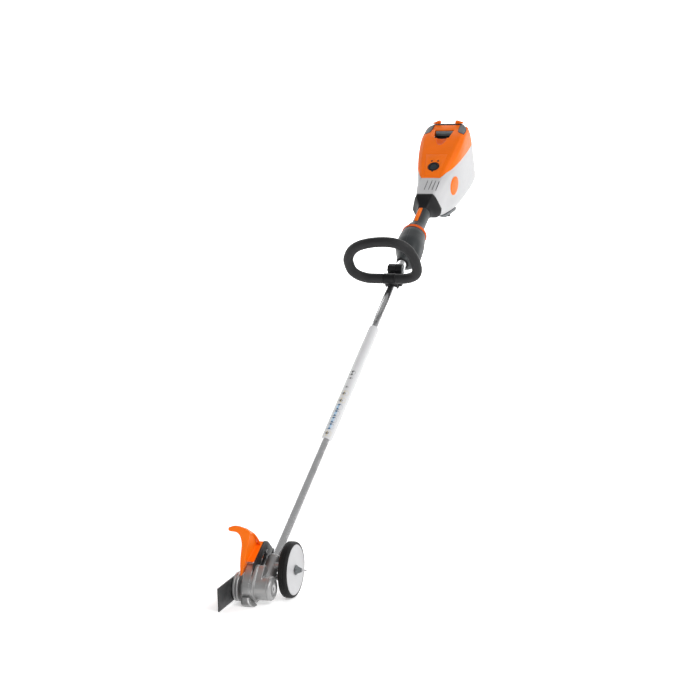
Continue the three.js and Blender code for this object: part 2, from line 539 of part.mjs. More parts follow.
function addMotor() {
  const shell = cut(motorSkin(0), motorSkin(MOTOR.shell),
    rod('y', TUBE.radius + GAP, 1190, 1240, [0, 0], 24));
  const { stations, length, low, high } = MOTOR_VENTS;
  const vents = [[-45, -28], [28, 45]].flatMap(([left, right]) =>
    stations.map((y) => block([left, y, low], [right, y + length, high])));
  const vented = cut(shell, ...vents);
  piece(shaft, 'motor_shell_left', leftOf(vented), charcoal());
  piece(shaft, 'motor_shell_right', rightOf(vented), charcoal());
  piece(shaft, 'motor_ring', pipe('y', RING.radius, RING.bore, RING.low, RING.high, [0, 0], 32), orange());
  piece(shaft, 'rod_coupling', cut(
    rod('y', 9, 1243, 1262, [0, 0], 12),
    rod('y', 3.9, 1240, 1247, [0, 0], 8)), steel());
  piece(shaft, 'motor_rotor', join(
    rod('y', 4, 1262.3, 1330, [0, 0], 12),
    rod('y', 16, 1270, 1306, [0, 0], 20)), steel());
  piece(shaft, 'motor_stator', pipe('y', 26.4, 16.8, 1268, 1308, [0, 0], 24), copper());
  piece(shaft, 'motor_fan', prism(toothed(12, 25, 8), 'y', 1313, 1321, [circle(0, 0, 4.3, 12)]), black());
}

// ---- control grip ----
function gripSkin(inset) {
  const rings = GRIP_STATIONS.map(([y, half, top, bottom, power], i) =>
    oval(inset && i === 0 ? y - 5 : y, half - inset, top - inset, bottom + inset, power, 24));
  if (inset) rings.push(rings.at(-1).map(([x, y, z]) => [x, y + 6 + GAP, z]));
  return loft(rings);
}

function addGrip() {
  const { slotHalf, slotLow, slotHigh } = TRIGGER;
  const triggerSlot = block([-slotHalf, slotLow, -40], [slotHalf, slotHigh, -10]);
  const leverSlot = block([LEVER.slot[0], LEVER.slotLow, 6], [LEVER.slot[1], LEVER.slotHigh, 40]);
  const shell = cut(gripSkin(0), gripSkin(GRIP.shell), triggerSlot, leverSlot);
  piece(shaft, 'grip_left', leftOf(shell), charcoal());
  piece(shaft, 'grip_right', rightOf(shell), charcoal());
  const trigger = prism([[1374, -13], [1424, -13], [1424, -22], [1414, -30], [1400, -34.5], [1386, -33.5],
    [1376, -27]], 'x', -TRIGGER.half, TRIGGER.half);
  piece(shaft, 'trigger', trigger, black());
  piece(shaft, 'trigger_switch', block([-9, 1386, -7], [9, 1420, 3.6]), black());
  const lever = prism([[1383, 10], [1444, 10], [1444, 21.6], [1440, 23], [1400, 22.8], [1390, 21.6],
    [1383, 18.6]], 'x', LEVER.left, LEVER.right);
  piece(shaft, 'lockout_lever', lever, orange());
}

// ---- collar between the grip and the battery head ----
function addCollar() {
  const blend = (t) => COLLAR_FLANGE.map(([x, z], i) => [
    COLLAR_NECK[i][0] + (x - COLLAR_NECK[i][0]) * t, COLLAR_NECK[i][1] + (z - COLLAR_NECK[i][1]) * t]);
  const outer = loft(COLLAR_STATIONS.map(([y, t]) => mirrored(y, blend(t))));
  const bore = rod('y', COLLAR.bore, COLLAR.low - 1, COLLAR.high + 1, [0, 0], 16);
  piece(shaft, 'head_collar', cut(outer, bore), black());
}

// ---- battery head ----
function headSkin(inset) {
  const rings = HEAD_STATIONS.map(([y, crown, top, shoulder, high, side, low, bottom]) => {
    const squeeze = (x) => Math.max(1, x - inset);
    return mirrored(y, [[4, crown - inset], [squeeze(top[0]), top[1] - inset],
      [squeeze(shoulder[0]), shoulder[1] - inset * 0.8],
      [squeeze(high[0]), high[1]], [squeeze(side[0]), side[1]], [squeeze(low[0]), low[1] + inset * 0.4],
      [squeeze(bottom[0]), bottom[1] + inset]]);
  });
  if (inset) {
    const [front, back] = [rings[0], rings.at(-1)];
    front.forEach((point) => { point[1] += inset; });
    rings.push(back.map(([x, y, z]) => [x, y + 10, z]));
  }
  return loft(rings);
}

// everything above the plane that parts the hood from the body
function aboveParting(lift, low = 1400, high = 1900) {
  const plane = (y) => HEAD.hoodHeight - (y - HEAD.hoodFront - 2) * HEAD.hoodSlope + lift;
  return prism([[low, plane(low)], [high, plane(high)], [high, 300], [low, 300]], 'x', -200, 200);
}

// Outline of the control panel from above: it widens towards the back
function panelOutline(grow) {
  const [front, back] = PANEL_OUTLINE;
  const half = [[front[0] + grow, front[1] - grow], [back[0] + grow, back[1] + grow]];
  return [...half, ...half.toReversed().map(([x, y]) => [-x, y])];
}

// Outline of the battery's pocket and of its shoulders: straight back from the cap's widest point
function pocketOutline(grow, back) {
  const [front, widest] = CAP_OUTLINE;
  const half = [[front[0] + grow, front[1] - grow], [widest[0] + grow, widest[1]], [widest[0] + grow, back]];
  return [...half, ...half.toReversed().map(([x, y]) => [-x, y])];
}

function addHead() {
  const skin = cut(headSkin(0), headSkin(HEAD.shell));
  const frontHole = rod('y', 8.5, HEAD.low - 5, HEAD.low + 8, [0, 0], 16);
  const hoodCut = common(aboveParting(-GAP / 2), block([-200, HEAD.hoodFront, -200], [200, 1900, 300]));
  const body = cut(skin, hoodCut, frontHole);
  const { count, left, pitch, width, low, high } = HEAD_VENTS;
  const ventCuts = Array.from({ length: count }, (_, i) =>
    block([left + i * pitch, low, 30], [left + i * pitch + width, high, 60]));
  const vented = cut(body, ...ventCuts);
  piece(shaft, 'body_left', leftOf(vented), white());
  piece(shaft, 'body_right', rightOf(vented), white());

  const capPocket = prism(pocketOutline(CAP.pocket, HEAD.high + 33), 'z', CAP.low, 120);
  const windowCut = prism(WINDOW, 'z', 50, 120);
  const thumbCut = prism([[-13, 1734], ...Array.from({ length: 9 }, (_, i) => {
    const angle = Math.PI * (1 + i / 8);
    return [14 * Math.cos(angle), 1719 + 14 * Math.sin(angle)];
  }), [13, 1734]], 'z', 76.5, 120);
  const panelPocket = prism(panelOutline(GAP), 'z', 40, 80);
  const hoodSide = common(aboveParting(GAP / 2), block([-200, HEAD.hoodFront + GAP, -200], [200, 1900, 300]));
  const hood = cut(common(skin, hoodSide), capPocket, windowCut, thumbCut, panelPocket);
  piece(shaft, 'hood', hood, orange());

  const tilted = (geometry) => geometry.rotateX(Math.atan(PANEL.slope)).translate(0, PANEL.y, PANEL.z);
  const slab = tilted(block([-60, -60, -4.6], [60, 60, -1]));
  const lamps = [[-9, 22], [9, 22], [0, -17]].map((spotAt) => tilted(rod('z', PANEL.lamp, -8, 8, spotAt, 8)));
  piece(shaft, 'control_panel', cut(common(prism(panelOutline(0), 'z', 20, 90), slab),
    tilted(rod('z', PANEL.button + 0.4, -8, 8, [0, 0], 24)), ...lamps), orange());
  const button = turned('z', [[-4.4, 0], [-4.4, PANEL.button], [-0.4, PANEL.button], [0.8, 12.8], [0.8, 0]]);
  piece(shaft, 'power_button', tilted(button), black());

  piece(shaft, 'control_board', block([-30, 1510, -24], [30, 1580, -22]), charcoal());
}

// ---- battery pack, drawn out backwards ----
function addBattery() {
  piece(shaft, 'battery_case', cut(loft([
    oval(1606, 44, 52, -66, 6, 20), oval(1800, 44, 55, -66, 6, 20), oval(1806, 41, 52, -62, 6, 20)]),
    block([-30, 1603, -40], [30, 1612, 0])), charcoal());
  const top = [...CAP_OUTLINE, ...CAP_OUTLINE.toReversed().map(([x, y]) => [-x, y])];
  piece(shaft, 'battery_cap', join(
    prism(top, 'z', CAP.low, CAP.high),
    prism(pocketOutline(0, CAP.back), 'z', CAP.low, CAP.shoulder)), orange());
  const tab = [[-28, 1761.6], [26, 1761.6], [21, 1736], [-22.6, 1736]];
  piece(shaft, 'battery_strip', prism(tab, 'z', CAP.low, 71), grey());
  [-1, 1].forEach((side) => {
    const horn = [[21, 77.9], [21, 87.6], [23, 89.2], [28, 89.2], [37, 85], [46, 78.8], [46, 77.9]];
    piece(shaft, `latch_${side < 0 ? 'left' : 'right'}`,
      prism(horn.map(([x, z]) => [x * side, z]), 'y', LATCH.low, LATCH.high), orange());
  });
}

// ---- foot under the battery head ----
function addFoot() {
  const ring = (y, half, top, bottom) =>
    [[-half, y, top], [-half, y, bottom], [half, y, bottom], [half, y, top]];
  const bar = loft([ring(FOOT.low, 24, -60, -65), ring(1550, 30, -69, -78), ring(1622, 38, -92.4, -101),
    ring(FOOT.high, 38, -95.4, -99)]);
  const opening = block([-FOOT.openHalf, FOOT.low - 2, -110], [FOOT.openHalf, FOOT.open, -40]);
  piece(shaft, 'rear_foot', cut(bar, opening), grey());
}

addShaft();
addGearHead();
addBladeSet();
addGuard();
addSkid();
addWheel();
addLoopHandle();
addMotor();
addGrip();
addCollar();
addHead();
addBattery();
addFoot();

export default tool;
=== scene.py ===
import json
import math
import bmesh
import bpy
from mathutils import Matrix, Vector


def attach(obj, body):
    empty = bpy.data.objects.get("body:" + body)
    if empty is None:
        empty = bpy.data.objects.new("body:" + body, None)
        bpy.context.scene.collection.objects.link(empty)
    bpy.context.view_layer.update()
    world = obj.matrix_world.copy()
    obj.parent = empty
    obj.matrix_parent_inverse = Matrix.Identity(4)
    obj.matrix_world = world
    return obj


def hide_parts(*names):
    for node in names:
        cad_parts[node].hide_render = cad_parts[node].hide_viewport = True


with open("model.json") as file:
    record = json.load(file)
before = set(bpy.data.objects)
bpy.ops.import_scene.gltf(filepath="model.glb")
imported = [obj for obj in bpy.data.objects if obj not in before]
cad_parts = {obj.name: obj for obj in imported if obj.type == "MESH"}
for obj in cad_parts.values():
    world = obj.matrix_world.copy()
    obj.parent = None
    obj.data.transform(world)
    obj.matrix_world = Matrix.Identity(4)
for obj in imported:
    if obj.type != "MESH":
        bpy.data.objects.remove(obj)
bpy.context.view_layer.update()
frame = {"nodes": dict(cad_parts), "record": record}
record = frame["record"]

# ---- frames: lengths are millimetres inside a place, metres once placed ----
MM = 0.001
JOINTS = {joint["name"]: joint for joint in record["behaviour"]["joints"]}
AXIS = Vector(JOINTS["blade_spin"]["pos_m"])
ALONG = Vector(JOINTS["handle_slide"]["axis"]).normalized()
LEAN = math.atan2(ALONG.z, ALONG.y)
SCALE = Matrix.Scale(MM, 4)
LEVEL = Matrix.Translation(AXIS) @ SCALE
SHAFT = Matrix.Translation(AXIS) @ Matrix.Rotation(LEAN, 4, "X") @ SCALE
WHEEL_AXIS = Vector(JOINTS["wheel_spin"]["pos_m"])
WHEEL = Matrix.Translation((AXIS.x, WHEEL_AXIS.y, WHEEL_AXIS.z)) @ SCALE
TUBE_RADIUS = 12.7


# ---- outlines and solids, each a (points, faces) pair ----
def arc(centre, radius, start, end, count):
    """Points of an arc from start to end degrees, both ends included."""
    turns = [math.radians(start + (end - start) * i / (count - 1)) for i in range(count)]
    return [(centre[0] + radius * math.cos(t), centre[1] + radius * math.sin(t)) for t in turns]


def hull(*circles):
    """Convex outline around circles given as (u, v, radius)."""
    dots = sorted({p for u, v, r in circles for p in arc((u, v), r, 0, 360 - 360 / 48, 48)})

    def half(points):
        chain = []
        for p in points:
            while len(chain) > 1 and (
                    (chain[-1][0] - chain[-2][0]) * (p[1] - chain[-2][1])
                    - (chain[-1][1] - chain[-2][1]) * (p[0] - chain[-2][0])) <= 0:
                chain.pop()
            chain.append(p)
        return chain[:-1]
    return half(dots) + half(dots[::-1])


def along(axis, place_at, u, v):
    """A point at place_at on the axis, with u and v on the other two axes in x, y, z order."""
    return {"x": (place_at, u, v), "y": (u, place_at, v), "z": (u, v, place_at)}[axis]


def loft(rings, closed=True, capped=True):
    """Skins equal rings of points; closed rings get end caps."""
    count = len(rings[0])
    points = [p for ring in rings for p in ring]
    faces = []
    for r in range(len(rings) - 1):
        for i in range(count if closed else count - 1):
            j = (i + 1) % count
            faces.append((r * count + i, r * count + j, (r + 1) * count + j, (r + 1) * count + i))
    if closed and capped:
        last = (len(rings) - 1) * count
        faces.append(tuple(range(count))[::-1])
        faces.append(tuple(range(last, last + count)))
    return points, faces


def prism(outline, axis, low, high):
    return loft([[along(axis, place_at, u, v) for u, v in outline] for place_at in (low, high)])


def rod(axis, radius, low, high, spot=(0, 0), count=48):
    return prism(arc(spot, radius, 0, 360 - 360 / count, count), axis, low, high)


def turned(axis, profile, spot=(0, 0), count=96, ring=False):
    """Turns a profile of (along, radius) round the axis; ring closes the profile on itself."""
    rings = []
    for place_at, radius in profile + (profile[:1] if ring else []):
        circle = arc(spot, max(radius, 0.001), 0, 360 - 360 / count, count)
        rings.append([along(axis, place_at, u, v) for u, v in circle])
    return loft(rings, capped=not ring)


def spline(rows, at):
    """Smooth value of every column at `at`, from rows sorted by their first column, without overshoot."""
    xs = [row[0] for row in rows]
    k = max(0, min(len(rows) - 2, sum(x <= at for x in xs) - 1))
    slopes = lambda i, c: (rows[i + 1][c] - rows[i][c]) / (xs[i + 1] - xs[i])

    def tangent(i, c):
        if i in (0, len(rows) - 1):
            return slopes(min(i, len(rows) - 2), c)
        before, after = slopes(i - 1, c), slopes(i, c)
        return 0 if before * after <= 0 else 2 * before * after / (before + after)
    span = xs[k + 1] - xs[k]
    t = (at - xs[k]) / span
    values = []
    for c in range(1, len(rows[0])):
        a, b = rows[k][c], rows[k + 1][c]
        values.append(a * (2 * t**3 - 3 * t**2 + 1) + tangent(k, c) * span * (t**3 - 2 * t**2 + t)
                      + b * (3 * t**2 - 2 * t**3) + tangent(k + 1, c) * span * (t**3 - t**2))
    return values


def spread(low, high, count):
    return [low + (high - low) * i / (count - 1) for i in range(count)]


def oval(y, half, top, bottom, power, x=0, count=112):
    """Superellipse across the shaft at y."""
    middle, height = (top + bottom) / 2, (top - bottom) / 2
    ring = []
    for i in range(count):
        c, s = math.cos(2 * math.pi * i / count), math.sin(2 * math.pi * i / count)
        ring.append((x + half * math.copysign(abs(c) ** (2 / power), c), y,
                     middle + height * math.copysign(abs(s) ** (2 / power), s)))
    return ring


def soften(points, cut=0.16, rounds=2):
    """Cuts the corners of a closed outline, so that they turn in a small radius."""
    for _ in range(rounds):
        after = points[1:] + points[:1]
        pairs = []
        for p, q in zip(points, after):
            pairs.append(tuple(a + (b - a) * cut for a, b in zip(p, q)))
            pairs.append(tuple(b + (a - b) * cut for a, b in zip(p, q)))
        points = pairs
    return points


# ---- materials ----
def surface(name, color, rough, metal=0.0, tint=0.05, grain=900.0, bump=0.12, streak=None, edge_wear_and_highlight=0.0, coat=0.0, gloss=0.3):
    """Procedural finish: uneven colour and roughness, a fine grain or drawn lines, and edges painted lighter, partly as
    rubbed wear and partly as a painted highlight.
    """
    material = bpy.data.materials.new(name)
    material.use_nodes = True
    nodes, links = material.node_tree.nodes, material.node_tree.links
    shader = nodes["Principled BSDF"]
    shader.inputs["Metallic"].default_value = metal
    shader.inputs["Coat Weight"].default_value = coat
    shader.inputs["Specular IOR Level"].default_value = 0.5 if metal else gloss
    place = nodes.new("ShaderNodeTexCoord")
    turn = nodes.new("ShaderNodeMapping")
    turn.inputs["Rotation"].default_value = (-LEAN, 0, 0)
    links.new(place.outputs["Object"], turn.inputs["Vector"])

    def noise(scale, detail, stretch=None):
        source = turn
        if stretch:
            source = nodes.new("ShaderNodeMapping")
            source.inputs["Scale"].default_value = stretch
            links.new(turn.outputs["Vector"], source.inputs["Vector"])
        pattern = nodes.new("ShaderNodeTexNoise")
        pattern.inputs["Scale"].default_value = scale
        pattern.inputs["Detail"].default_value = detail
        links.new(source.outputs["Vector"], pattern.inputs["Vector"])
        return pattern.outputs["Fac"]

    def spanned(value, low, high):
        ramp = nodes.new("ShaderNodeMapRange")
        ramp.inputs["From Min"].default_value = 0.3
        ramp.inputs["From Max"].default_value = 0.7
        ramp.inputs["To Min"].default_value = low
        ramp.inputs["To Max"].default_value = high
        links.new(value, ramp.inputs["Value"])
        return ramp.outputs["Result"]

    def blended(fac, first, second):
        mix = nodes.new("ShaderNodeMix")
        mix.data_type = "RGBA"
        links.new(fac, mix.inputs["Factor"])
        for socket, value in ((mix.inputs[6], first), (mix.inputs[7], second)):
            if hasattr(value, "is_linked"):
                links.new(value, socket)
            else:
                socket.default_value = (*value, 1)
        return mix.outputs[2]

    dark = tuple(c * (1 - tint) for c in color)
    light = tuple(min(1, c * (1 + tint)) for c in color)
    shade = blended(spanned(noise(22, 4), 0, 1), dark, light)
    # convex edges painted lighter: partly rubbed wear, partly a painted highlight
    if edge_wear_and_highlight:
        edges = nodes.new("ShaderNodeNewGeometry")
        worn_and_lit_edges = nodes.new("ShaderNodeMapRange")
        worn_and_lit_edges.inputs["From Min"].default_value = 0.52
        worn_and_lit_edges.inputs["From Max"].default_value = 0.62
        worn_and_lit_edges.inputs["To Max"].default_value = edge_wear_and_highlight
        links.new(edges.outputs["Pointiness"], worn_and_lit_edges.inputs["Value"])
        shade = blended(worn_and_lit_edges.outputs["Result"], shade, tuple(min(1, c * 1.5 + 0.08) for c in color))
    links.new(shade, shader.inputs["Base Color"])
    links.new(spanned(noise(90, 6), rough - 0.06, rough + 0.06), shader.inputs["Roughness"])
    relief = nodes.new("ShaderNodeBump")
    relief.inputs["Strength"].default_value = bump
    relief.inputs["Distance"].default_value = 0.0003
    links.new(noise(grain, 3, streak), relief.inputs["Height"])
    links.new(relief.outputs["Normal"], shader.inputs["Normal"])
    return material


FINISHES = {
    "aluminium_tube": surface("drawn_aluminium", (0.80, 0.80, 0.81), 0.21, 1.0, 0.02, 900, 0.02, (1, 0.01, 1)),
    "cast_aluminium": surface("cast_aluminium", (0.40, 0.40, 0.40), 0.44, 0.8, 0.09, 1300, 0.26, edge_wear_and_highlight=0.7),
    "bright_steel": surface("plated_steel", (0.55, 0.55, 0.56), 0.32, 1.0, 0.08, 900, 0.08, edge_wear_and_highlight=0.3),
    "dark_steel": surface("dark_steel", (0.014, 0.015, 0.016), 0.40, 0.2, 0.20, 500, 0.16, edge_wear_and_highlight=0.5),
    "orange_plastic": surface("orange_plastic", (0.93, 0.165, 0.002), 0.42, 0.0, 0.04, 1600, 0.08, edge_wear_and_highlight=0.12, gloss=0.16),
    "white_plastic": surface("white_plastic", (0.52, 0.52, 0.53), 0.42, 0.0, 0.02, 1600, 0.08, gloss=0.3),
    "charcoal_plastic": surface("charcoal_plastic", (0.030, 0.034, 0.036), 0.42, 0.0, 0.12, 1500, 0.22, edge_wear_and_highlight=0.25),
    "black_plastic": surface("black_plastic", (0.008, 0.008, 0.009), 0.44, 0.0, 0.15, 1500, 0.20, edge_wear_and_highlight=0.2, gloss=0.25),
    "grey_plastic": surface("grey_plastic", (0.13, 0.14, 0.145), 0.44, 0.0, 0.06, 1500, 0.16, edge_wear_and_highlight=0.2),
    "black_rubber": surface("foam_rubber", (0.016, 0.016, 0.017), 0.50, 0.0, 0.14, 1100, 0.30, gloss=0.3),
    "tyre_rubber": surface("tyre_rubber", (0.006, 0.006, 0.006), 0.60, 0.0, 0.18, 900, 0.40, gloss=0.25),
    "copper_winding": surface("copper_winding", (0.50, 0.20, 0.08), 0.32, 1.0, 0.12, 1200, 0.5, (0.05, 1, 1)),
}
RED_ORANGE = surface("ring_orange", (0.72, 0.10, 0.004), 0.40, 0.0, 0.05, 1600, 0.08, edge_wear_and_highlight=0.2, gloss=0.2)
SLEEVE = surface("label_film", (0.62, 0.62, 0.63), 0.36, 0.0, 0.02, 1400, 0.04, gloss=0.5)
SIGN_BLUE = surface("label_blue", (0.03, 0.12, 0.25), 0.34, 0.0, 0.05, 1400, 0.04)
SIGN_PALE = surface("label_pale_blue", (0.42, 0.60, 0.78), 0.34, 0.0, 0.05, 1400, 0.04)
SIGN_AMBER = surface("label_amber", (0.60, 0.42, 0.04), 0.34, 0.0, 0.05, 1400, 0.04)
WELL_BLACK = surface("well_black", (0.002, 0.002, 0.002), 0.6, 0.0, 0.1, 1400, 0.1, gloss=0.15)
BUTTON_CORE = surface("button_core", (0.020, 0.028, 0.036), 0.35, 0.0, 0.1, 1400, 0.1)


# ---- pieces ----
def tree_socket(tree, side):
    tree.interface.new_socket("Geometry", in_out=side, socket_type="NodeSocketGeometry")


def smoothing():
    """Geometry nodes that shade smooth, except across edges sharper than a limit."""
    tree = bpy.data.node_groups.new("smooth_by_angle", "GeometryNodeTree")
    tree_socket(tree, "INPUT")
    tree_socket(tree, "OUTPUT")
    nodes, links = tree.nodes, tree.links
    source, result = nodes.new("NodeGroupInput"), nodes.new("NodeGroupOutput")
    faces, edges = nodes.new("GeometryNodeSetShadeSmooth"), nodes.new("GeometryNodeSetShadeSmooth")
    edges.domain = "EDGE"
    edges.inputs["Shade Smooth"].default_value = False
    angle, sharp = nodes.new("GeometryNodeInputMeshEdgeAngle"), nodes.new("FunctionNodeCompare")
    sharp.data_type = "FLOAT"
    sharp.operation = "GREATER_THAN"
    sharp.inputs[1].default_value = math.radians(32)
    links.new(source.outputs[0], faces.inputs["Geometry"])
    links.new(faces.outputs[0], edges.inputs["Geometry"])
    links.new(angle.outputs["Unsigned Angle"], sharp.inputs[0])
    links.new(sharp.outputs[0], edges.inputs["Selection"])
    links.new(edges.outputs[0], result.inputs[0])
    return tree


SMOOTH = smoothing()


def finish_edges(obj, bevel, steps=2):
    if bevel:
        rounding = obj.modifiers.new("rounding", "BEVEL")
        rounding.width = bevel * MM
        rounding.segments = steps
        rounding.limit_method = "ANGLE"
        rounding.angle_limit = math.radians(32)
        rounding.use_clamp_overlap = True
    obj.modifiers.new("smoothing", "NODES").node_group = SMOOTH


def bake(obj):
    """Puts the modifiers' result into the mesh."""
    bpy.context.view_layer.update()
    result = obj.evaluated_get(bpy.context.evaluated_depsgraph_get())
    mesh = bpy.data.meshes.new_from_object(result)
    obj.modifiers.clear()
    obj.data = mesh


def make(name, solids, place, outward=True):
    """A mesh object from (points, faces) pairs."""
    mesh_data = bmesh.new()
    for points, faces in solids:
        made = [mesh_data.verts.new(place @ Vector(p)) for p in points]
        for face in faces:
            mesh_data.faces.new([made[i] for i in face])
    bmesh.ops.remove_doubles(mesh_data, verts=mesh_data.verts, dist=2e-6)
    bmesh.ops.dissolve_degenerate(mesh_data, edges=mesh_data.edges, dist=2e-6)
    if outward:
        bmesh.ops.recalc_face_normals(mesh_data, faces=mesh_data.faces)
    mesh = bpy.data.meshes.new(name)
    mesh_data.to_mesh(mesh)
    mesh_data.free()
    obj = bpy.data.objects.new(name, mesh)
    bpy.context.scene.collection.objects.link(obj)
    return obj


def cut(obj, solids, place):
    """Takes each solid away from the object."""
    for i, solid in enumerate(solids):
        tool = make(f"tool_{obj.name}_{i}", [solid], place)
        modifier = obj.modifiers.new("cut", "BOOLEAN")
        modifier.operation = "DIFFERENCE"
        modifier.solver = "EXACT"
        modifier.object = tool
        bake(obj)
        bpy.data.objects.remove(tool)


def fuse(obj, voxel, relax):
    """Joins overlapping solids into one skin with small fillets, as in a casting or moulding."""
    modifier = obj.modifiers.new("fuse", "REMESH")
    modifier.mode = "VOXEL"
    modifier.voxel_size = voxel * MM
    ease = obj.modifiers.new("ease", "SMOOTH")
    ease.factor = 0.5
    ease.iterations = relax
    bake(obj)


def thicken(obj, depth):
    """Gives an open skin its wall, on the inner side."""
    middle = sum((v.co for v in obj.data.vertices), Vector()) / len(obj.data.vertices)
    facing = sum((p.center - middle).dot(p.normal) * p.area for p in obj.data.polygons)
    if facing < 0:
        obj.data.flip_normals()
    wall = obj.modifiers.new("wall", "SOLIDIFY")
    wall.thickness = depth * MM
    wall.offset = -1
    wall.use_even_offset = False
    bake(obj)


REPLACED = set()


def settle(obj, body, slot, nodes=(), bevel=0.0, steps=2, material=None):
    """Gives a finished piece its material, its body and the CAD nodes it stands for."""
    obj.data.materials.clear()
    obj.data.materials.append(material or FINISHES[slot])
    finish_edges(obj, bevel, steps)
    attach(obj, body)
    if nodes:
        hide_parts(*nodes)
        REPLACED.update(nodes)
    return obj


# ---- shaft and its label sleeve ----
def wrap(start, end, low, high, radius, rows=8, width=40):
    """A patch of thin film round the tube, from start to end degrees."""
    rings = []
    for y in spread(low, high, rows):
        outer = [(u, y, v) for u, v in arc((0, 0), radius, start, end, width)]
        inner = [(u, y, v) for u, v in arc((0, 0), TUBE_RADIUS + 0.01, end, start, width)]
        rings.append(outer + inner)
    return loft(rings)


def blob(angle, y, half_angle, half_length, radius, power=2.0, count=40):
    """A film shape on the tube, round at power 2 and squarer above."""
    rim, base = [], []
    for i in range(count):
        t = 2 * math.pi * i / count
        u = math.copysign(abs(math.cos(t)) ** (2 / power), math.cos(t))
        v = math.copysign(abs(math.sin(t)) ** (2 / power), math.sin(t))
        turn = math.radians(angle + half_angle * u)
        spot = (math.cos(turn), y + half_length * v, math.sin(turn))
        rim.append((spot[0] * radius, spot[1], spot[2] * radius))
        base.append((spot[0] * (TUBE_RADIUS + 0.1), spot[1], spot[2] * (TUBE_RADIUS + 0.1)))
    middle = math.radians(angle)
    points = rim + base + [(math.cos(middle) * radius, y, math.sin(middle) * radius)]
    faces = [(i, (i + 1) % count, count + (i + 1) % count, count + i) for i in range(count)]
    faces += [((i + 1) % count, i, 2 * count) for i in range(count)]
    faces.append(tuple(range(count, 2 * count))[::-1])
    return points, faces


def shaft():
    tube = make("tube", [turned("y", [(46, 11.1), (46, 12.3), (46.6, TUBE_RADIUS), (1231, TUBE_RADIUS),
                                      (1232, 11.9), (1232, 11.1)], count=128, ring=True)], SHAFT)
    settle(tube, "root", "aluminium_tube", ["drive_tube"])
    film = make("label_sleeve", [wrap(-150, 205, 478, 915, TUBE_RADIUS + 0.12, 40, 96)], SHAFT)
    settle(film, "root", "white_plastic", material=SLEEVE)
    facing, proud = 85, TUBE_RADIUS + 0.2
    spots = (520, 544, 568, 592)
    discs = [blob(facing, y, 46, 10.5, proud) for y in spots]
    settle(make("label_discs", discs, SHAFT), "root", "white_plastic", material=SIGN_BLUE)
    cores = [blob(facing - 6 + 4 * i, y, 22 - 2 * i, 4.6, proud + 0.06, 3) for i, y in enumerate(spots)]
    settle(make("label_cores", cores, SHAFT), "root", "white_plastic", material=SIGN_PALE)
    tabs = [blob(facing, y, 46, 8.5, proud, 4) for y in (494, 618, 645)]
    settle(make("label_tabs", tabs, SHAFT), "root", "white_plastic", material=SIGN_AMBER)
    bars = [blob(facing + 4, y, 20, 3.2, proud + 0.06, 4) for y in (496, 616, 643)]
    bars += [blob(facing + 2, y, 22, 2.6, proud, 4) for y in (668, 702)]
    bars.append(blob(facing + 6, 722, 34, 8.5, proud, 2.6))
    settle(make("label_bars", bars, SHAFT), "root", "charcoal_plastic")


# ---- gear head ----
EAR = (8, 33)


def ear_outline(grow=0.0):
    s = EAR[0] * math.cos(LEAN) + EAR[1] * math.sin(LEAN)
    n = EAR[1] * math.cos(LEAN) - EAR[0] * math.sin(LEAN)
    return hull((0, 0, 31 + grow), (s, n, 14 + grow))


